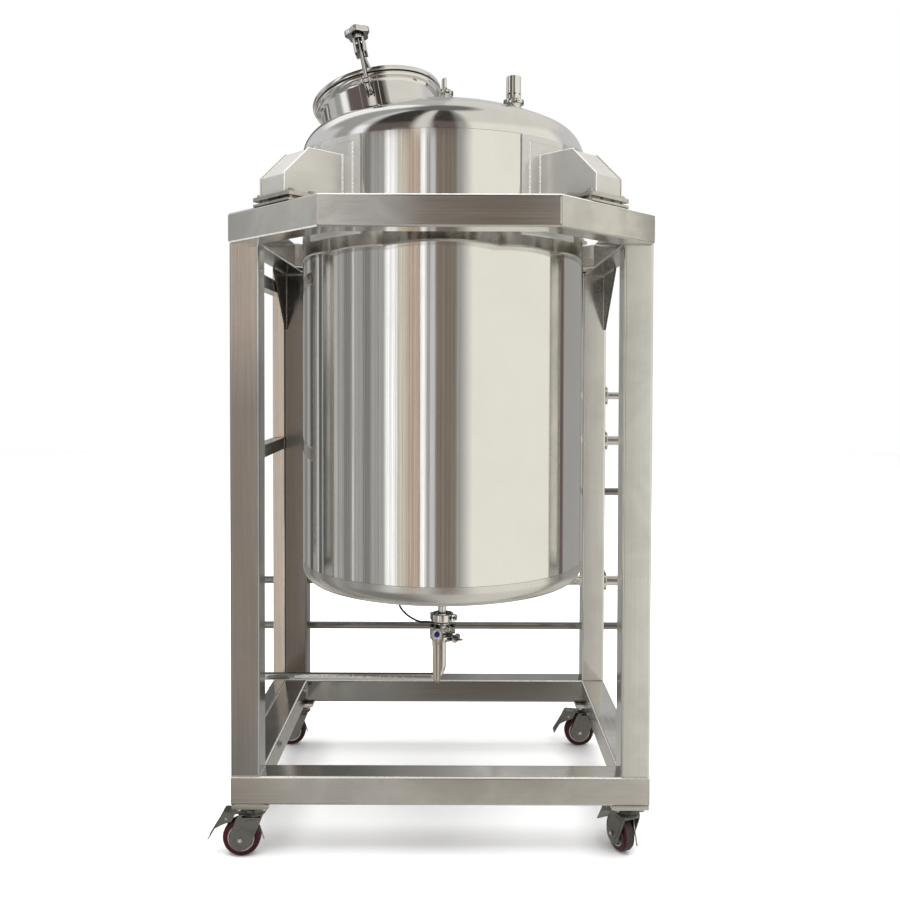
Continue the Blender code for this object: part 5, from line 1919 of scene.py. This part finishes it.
# %% Jacket pipes
SIDE_END = 0.66
BACK_Y = AXIS_Y + 0.6
BEND = 0.045
# Name, height where it leaves the shell, height of its run, pipe radius, distance right of the axis
NOZZLES = (("nozzle_top", 1.212, 1.212, 0.0125, 0.15), ("nozzle_middle", 1.052, 1.052, 0.016, 0.13),
           ("nozzle_low", 0.86, 0.55, 0.018, 0.2))


def build_nozzle(name, leave_z, z, radius, leave):
    wall_y = AXIS_Y + math.sqrt((TANK_R + GAP) ** 2 - leave ** 2)
    corners = [(leave, wall_y + 0.001, leave_z), (leave, BACK_Y, leave_z)]
    if abs(leave_z - z) > 0.01:
        corners.append((leave, BACK_Y, z))
    corners.append((SIDE_END - 0.018, BACK_Y, z))
    parts = [painted(round_bar("pipe", bent_path(corners, BEND, 14), radius, around=32), polished)]
    end = facing((SIDE_END - 0.0004, BACK_Y, z), (-1, 0, 0))
    parts.append(ferrule(end, radius, 0.0252 if radius < 0.017 else 0.027, 0.022, 0.0))
    parts.append(clamp(facing((0.566, BACK_Y, z), (1, 0, 0), (0, 0.5, 0.8)), 0.03, 0.0095, 0.85))
    root = []
    for x, z in regular(40, radius + 0.0008):
        y = AXIS_Y + math.sqrt((TANK_R + 0.0024) ** 2 - (leave + x) ** 2)
        root.append((leave + x, y, leave_z + z))
    parts.append(painted(round_bar("root_weld", root, 0.0024, closed=True, around=12), weld_steel))
    finish_parts(name, parts)


for nozzle in NOZZLES:
    build_nozzle(*nozzle)
print("three jacket pipes built")


# %% Rods and their saddles
# The strap's thickness, the reach of its feet, and the rounding of a rod's ends
STRAP = 0.0022
STRAP_FOOT = 0.02
RIM = 0.0022
# Turns a plate drawn in X and Y so that its X points down and its thickness lies along X
STRAP_TURN = Matrix(((0, 0, 1, 0), (0, 1, 0, 0), (-1, 0, 0, 0), (0, 0, 0, 1)))
rod_steel = steel("rod_steel", (0.4, 0.39, 0.37), (0.12, 0.22), ALONG_X, smudge=0.15)


def saddle(x, y, z, radius):
    """A bent strap over a rod, with one screw above it and one below, on a face that looks to +Y."""
    arc = [math.radians(k) for k in range(0, 181, 10)]
    outer = radius + STRAP
    top = STRAP - radius
    outline = [(radius + STRAP_FOOT, top), (outer, top)]
    outline += [(outer * math.cos(a), outer * math.sin(a)) for a in arc]
    outline += [(-outer, top), (-radius - STRAP_FOOT, top), (-radius - STRAP_FOOT, -radius),
                (-radius, -radius)]
    outline += [(radius * math.cos(a), radius * math.sin(a)) for a in reversed(arc)]
    outline += [(radius, -radius), (radius + STRAP_FOOT, -radius)]
    strap = plate("strap", outline, -0.009, 0.009, Matrix.Translation((x, y, z)) @ STRAP_TURN)
    parts = [painted(soften(strap, 0.0005, 2), zinc)]
    for sign in (-1, 1):
        foot_at = facing((x, y + top, z + sign * (radius + 0.0115)), (0, 1, 0))
        parts.append(hex_bolt(foot_at, 0.01, 0.0045))
    return parts


def build_rods():
    for name in ("rod_low", "rod_middle", "rod_high"):
        low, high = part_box(name)
        middle = (low + high) / 2
        radius = (high.z - low.z) / 2
        length = high.x - low.x
        rim = [(0.0, 0.0), (radius - RIM, 0.0), (radius - 0.0008, 0.0006), (radius, RIM)]
        outline = rim + [(radius, length * share) for share in (0.25, 0.5, 0.75)]
        outline += [(r, length - z) for r, z in reversed(rim)]
        rod = turned("rod", outline, 40, facing((low.x, middle.y, middle.z), (1, 0, 0)))
        parts = [painted(rod, rod_steel)]
        for x in (TUBE / 2 - HALF_W, HALF_W - TUBE / 2):
            if low.x < x < high.x:
                parts += saddle(x, middle.y, middle.z, radius)
        finish_parts(name, parts)


build_rods()
print("three rods built")

# %% [markdown]
# ## Side rack
# A light frame of small tube stands outside the left side, for hoses or a panel. Two upright tubes with
# black plugs carry three short ones, and round-headed bolts through the left base rail hold it. Each
# tube is a block with four rounded edges, the same way as the stand's own tube.

# %% Rack
RACK_ROUND = 0.003
RACK_KEEP = 0.004


def rack_weld(start, end, outward):
    return bead_at(start, end, outward, 0.0045, 0.0014)


def build_rack():
    keep = RACK_KEEP
    for name, axis, coat in (("rack_rear", 2, satin_z), ("rack_front", 2, satin_z), ("rack_base", 1, satin_y),
                             ("rack_middle", 1, satin_y), ("rack_top", 1, satin_y)):
        low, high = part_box(name)
        parts = [tube_between(name, low, high, axis, coat, RACK_ROUND)]
        sides = ((low.x, (-1, 0, 0)), (high.x, (1, 0, 0)))
        if axis == 2:
            plug = block("plug", (low.x + 0.0012, low.y + 0.0012, high.z - 0.003),
                         (high.x - 0.0012, high.y - 0.0012, high.z + 0.0015))
            parts.append(painted(soften(plug, 0.001, 2), black_rubber))
            z = low.z + 0.0006
            parts += [rack_weld((x, low.y + keep, z), (x, high.y - keep, z), out) for x, out in sides]
        elif name == "rack_base":
            for y, _ in RACK_BOLTS:
                place = facing((low.x, AXIS_Y + y, (low.z + high.z) / 2), (-1, 0, 0))
                parts.append(hex_bolt(place, *RACK_HEAD))
        else:
            for y in (low.y + 0.001, high.y - 0.001):
                parts += [rack_weld((x, y, low.z + keep), (x, y, high.z - keep), out) for x, out in sides]
                parts.append(rack_weld((low.x + keep, y, high.z), (high.x - keep, y, high.z), (0, 0, 1)))
        finish_parts(name, parts)


build_rack()
print("rack built")

# %% [markdown]
# ## Casters
# One braked swivel caster is modelled in its own frame: local X runs from the swivel pin to the axle,
# and the floor is at zero. Each corner then gets a copy turned about its swivel, which saves building
# the same parts four times, and the wheel is a piece of its own, because it rolls. The pressed sheet
# of the fork and the brake is drawn as side outlines and given its thickness.

# %% Fork
# The cheeks are the fork's two side plates, between these distances from the middle plane
WHEEL_R = 0.05
TRAIL = 0.032
CHEEK_IN = 0.0215
CHEEK_OUT = 0.0255
CHEEK_R = 0.03
CHEEK_STEPS = 20
maroon = plain_coat("maroon_tyre", (0.036, 0.003, 0.008), 0.36, 0.3, 160.0, 0.22)
dusty = plain_coat("dusty_tread", (0.036, 0.026, 0.024), 0.62, 0.35, 220.0, 0.3)
dark_zinc = steel("dark_zinc", (0.27, 0.27, 0.25), (0.24, 0.44), (0.01,) * 3, smudge=0.3)
# The darkest zinc, used for the swivel race's painted shade and for the brake's grip ribs.
darkest_zinc = steel("darkest_zinc", (0.15, 0.15, 0.14), (0.24, 0.4), (0.01,) * 3, smudge=0.35)


def cheek_outline(radius, top_front, top_rear, top_z):
    """Flat top, straight edges and a round end about the axle."""
    top = [(top_front, top_z - 0.013), (top_front - 0.002, top_z), (top_rear - 0.008, top_z),
           (top_rear, top_z - 0.013)]
    centre = Vector((TRAIL, WHEEL_R))
    ends = []
    for corner, sign in ((Vector(top[-1]), -1), (Vector(top[0]), 1)):
        spoke = corner - centre
        ends.append(math.atan2(spoke.y, spoke.x) + sign * math.acos(min(1.0, radius / spoke.length)))
    first, last = ends[0], ends[1] - math.tau
    turns = [first + (last - first) * k / CHEEK_STEPS for k in range(CHEEK_STEPS + 1)]
    return top + [(TRAIL + radius * math.cos(a), WHEEL_R + radius * math.sin(a)) for a in turns]


def sheet(name, outline, low, high, width, segments, coat):
    """Pressed sheet from its side outline, between two distances from the middle plane."""
    return painted(soften(plate(name, outline, low, high, SIDEWAYS), width, segments), coat)


def fork_parts():
    cap = FOOT_Z - 2 * GAP
    race = turned("race", [(0.0, 0.112), (0.0285, 0.112), (0.0325, 0.1145), (0.034, 0.118), (0.034, 0.1205),
                           (0.0322, 0.1222), (0.0322, 0.1236), (0.034, 0.1252), (0.034, 0.13),
                           (0.0325, 0.133), (0.029, 0.1345), (0.011, 0.1345), (0.011, cap), (0.0, cap)], 56)
    crown = block("crown", (-0.026, -CHEEK_OUT, 0.1065), (0.03, CHEEK_OUT, 0.1175))
    # Painted shade: the swivel race is painted in the darkest zinc for the shadow under the foot plate.
    parts = [painted(race, darkest_zinc), painted(soften(crown, 0.003, 4), dark_zinc)]
    cheek, rib = cheek_outline(CHEEK_R, -0.024, 0.044, 0.117), cheek_outline(0.019, -0.01, 0.022, 0.104)
    for sign in (-1, 1):
        parts.append(sheet("cheek", cheek, *span_on(sign, CHEEK_IN, CHEEK_OUT), 0.0012, 3, dark_zinc))
        parts.append(sheet("rib", rib, *span_on(sign, CHEEK_OUT - 0.001, CHEEK_OUT + 0.0012), 0.001, 3,
                           dark_zinc))
        axle = facing((TRAIL, sign * (CHEEK_OUT + 0.001), WHEEL_R), (0, sign, 0))
        parts.append(painted(hex_bolt(axle, 0.0115, 0.0044, washer=False), zinc))
        end = soften(cylinder("axle_end", axle, 0.0036, 0.0, 0.0062, 24), 0.001, 2)
        parts.append(painted(end, polished))
    return parts


print("fork ready")

# %% Brake
BRAKE_HALF = 0.02
GRIPS = 5
# Side outlines, as distance from the swivel pin and height above the floor
PEDAL_LINE = ((0.022, 0.115), (0.022, 0.1172), (0.076, 0.1215), (0.081, 0.119), (0.094, 0.093),
              (0.121, 0.048), (0.1185, 0.047), (0.0915, 0.0915), (0.0775, 0.1175), (0.0745, 0.119),
              (0.035, 0.1155))
FLANGE_LINE = ((0.046, 0.1165), (0.076, 0.1195), (0.081, 0.117), (0.094, 0.092), (0.103, 0.076),
               (0.097, 0.079), (0.077, 0.089), (0.056, 0.096))
RELEASE_LINE = ((-0.006, 0.098), (-0.01, 0.073), (-0.024, 0.0315), (-0.0215, 0.0308), (-0.0065, 0.073),
                (-0.001, 0.098))


def brake_parts():
    """The pedal with its folded sides and grip ribs, and the release tongue."""
    parts = [sheet("pedal", PEDAL_LINE, -BRAKE_HALF, BRAKE_HALF, 0.0006, 2, dark_zinc)]
    for sign in (-1, 1):
        parts.append(sheet("side", FLANGE_LINE, *span_on(sign, BRAKE_HALF, BRAKE_HALF - 0.002), 0.0005, 2,
                           dark_zinc))
        rivet = facing((0.07, sign * BRAKE_HALF, 0.104), (0, sign, 0))
        parts.append(painted(soften(cylinder("rivet", rivet, 0.004, -0.001, 0.0016, 24), 0.0008, 2), zinc))
    for k in range(GRIPS):
        grip = block("grip", (-0.0012, -0.014, -0.0008), (0.0012, 0.014, 0.001))
        place = Matrix.Translation((0.097 + 0.0045 * k, 0.0, 0.0885 - 0.0075 * k))
        grip.matrix_world = place @ Matrix.Rotation(math.radians(59.0), 4, "Y")
        parts.append(painted(soften(bake_place(grip), 0.0004, 1), darkest_zinc))
    parts.append(sheet("release", RELEASE_LINE, 0.0168, 0.02, 0.0005, 2, zinc))
    return parts


print("brake ready")

# %% Wheel
WHEEL_HALF = 0.016
HUB_HALF = WHEEL_HALF + 0.004


def wheel_parts():
    """Tyre, worn tread, rim and hub, each turned from the lower half of its section."""
    half, hub_end, bore = WHEEL_HALF, HUB_HALF, 0.0062
    axle = Matrix.Translation((TRAIL, 0.0, WHEEL_R)) @ SIDEWAYS
    sections = (
        ("tyre", maroon, 72, [(0.0345, -half + 0.0004), (0.036, -half), (0.044, -half),
                              (0.0468, -half + 0.0012), (0.0486, -half + 0.0032), (0.0493, -half + 0.0055),
                              (0.0494, 0.0)]),
        ("tread", dusty, 72, [(0.0485, -half + 0.0052), (0.0494, -half + 0.005), (0.0498, -half + 0.0062),
                              (0.05, -0.004)]),
        ("rim", zinc, 72, [(0.03, -half + 0.003), (0.032, -half - 0.0006), (0.035, -half - 0.0008),
                           (0.0358, -half - 0.0002), (0.035, -half + 0.002)]),
        ("hub", dark_zinc, 56, [(bore, -hub_end + 0.0006), (0.012, -hub_end + 0.0006),
                                (0.0135, -hub_end + 0.002), (0.015, -half + 0.001),
                                (0.02, -half + 0.0035), (0.0302, -half + 0.0045)]))
    return [painted(turned(name, both_ways(points), steps, axle), coat)
            for name, coat, steps, points in sections]


print("wheel ready")


# %% Four casters
def build_casters():
    fork = join_pieces("fork_pattern", fork_parts() + brake_parts())
    wheel = join_pieces("wheel_pattern", wheel_parts())
    for tag in ("fl", "fr", "rl", "rr"):
        pin = Vector(joints["swivel_" + tag]["pos_m"])
        axle = Vector(joints["roll_" + tag]["pos_m"])
        turn = Matrix.Rotation(math.atan2(axle.y - pin.y, axle.x - pin.x), 4, "Z")
        place = Matrix.Translation((pin.x, pin.y, 0.0)) @ turn
        for pattern, kind, slot in ((fork, "fork_", "zinc"), (wheel, "wheel_", "red")):
            name = "caster_" + kind + tag
            finish_piece(copy_piece(pattern, name, place), None, kind + tag, (name,))
    drop(fork, wheel)


build_casters()
print("four casters built")
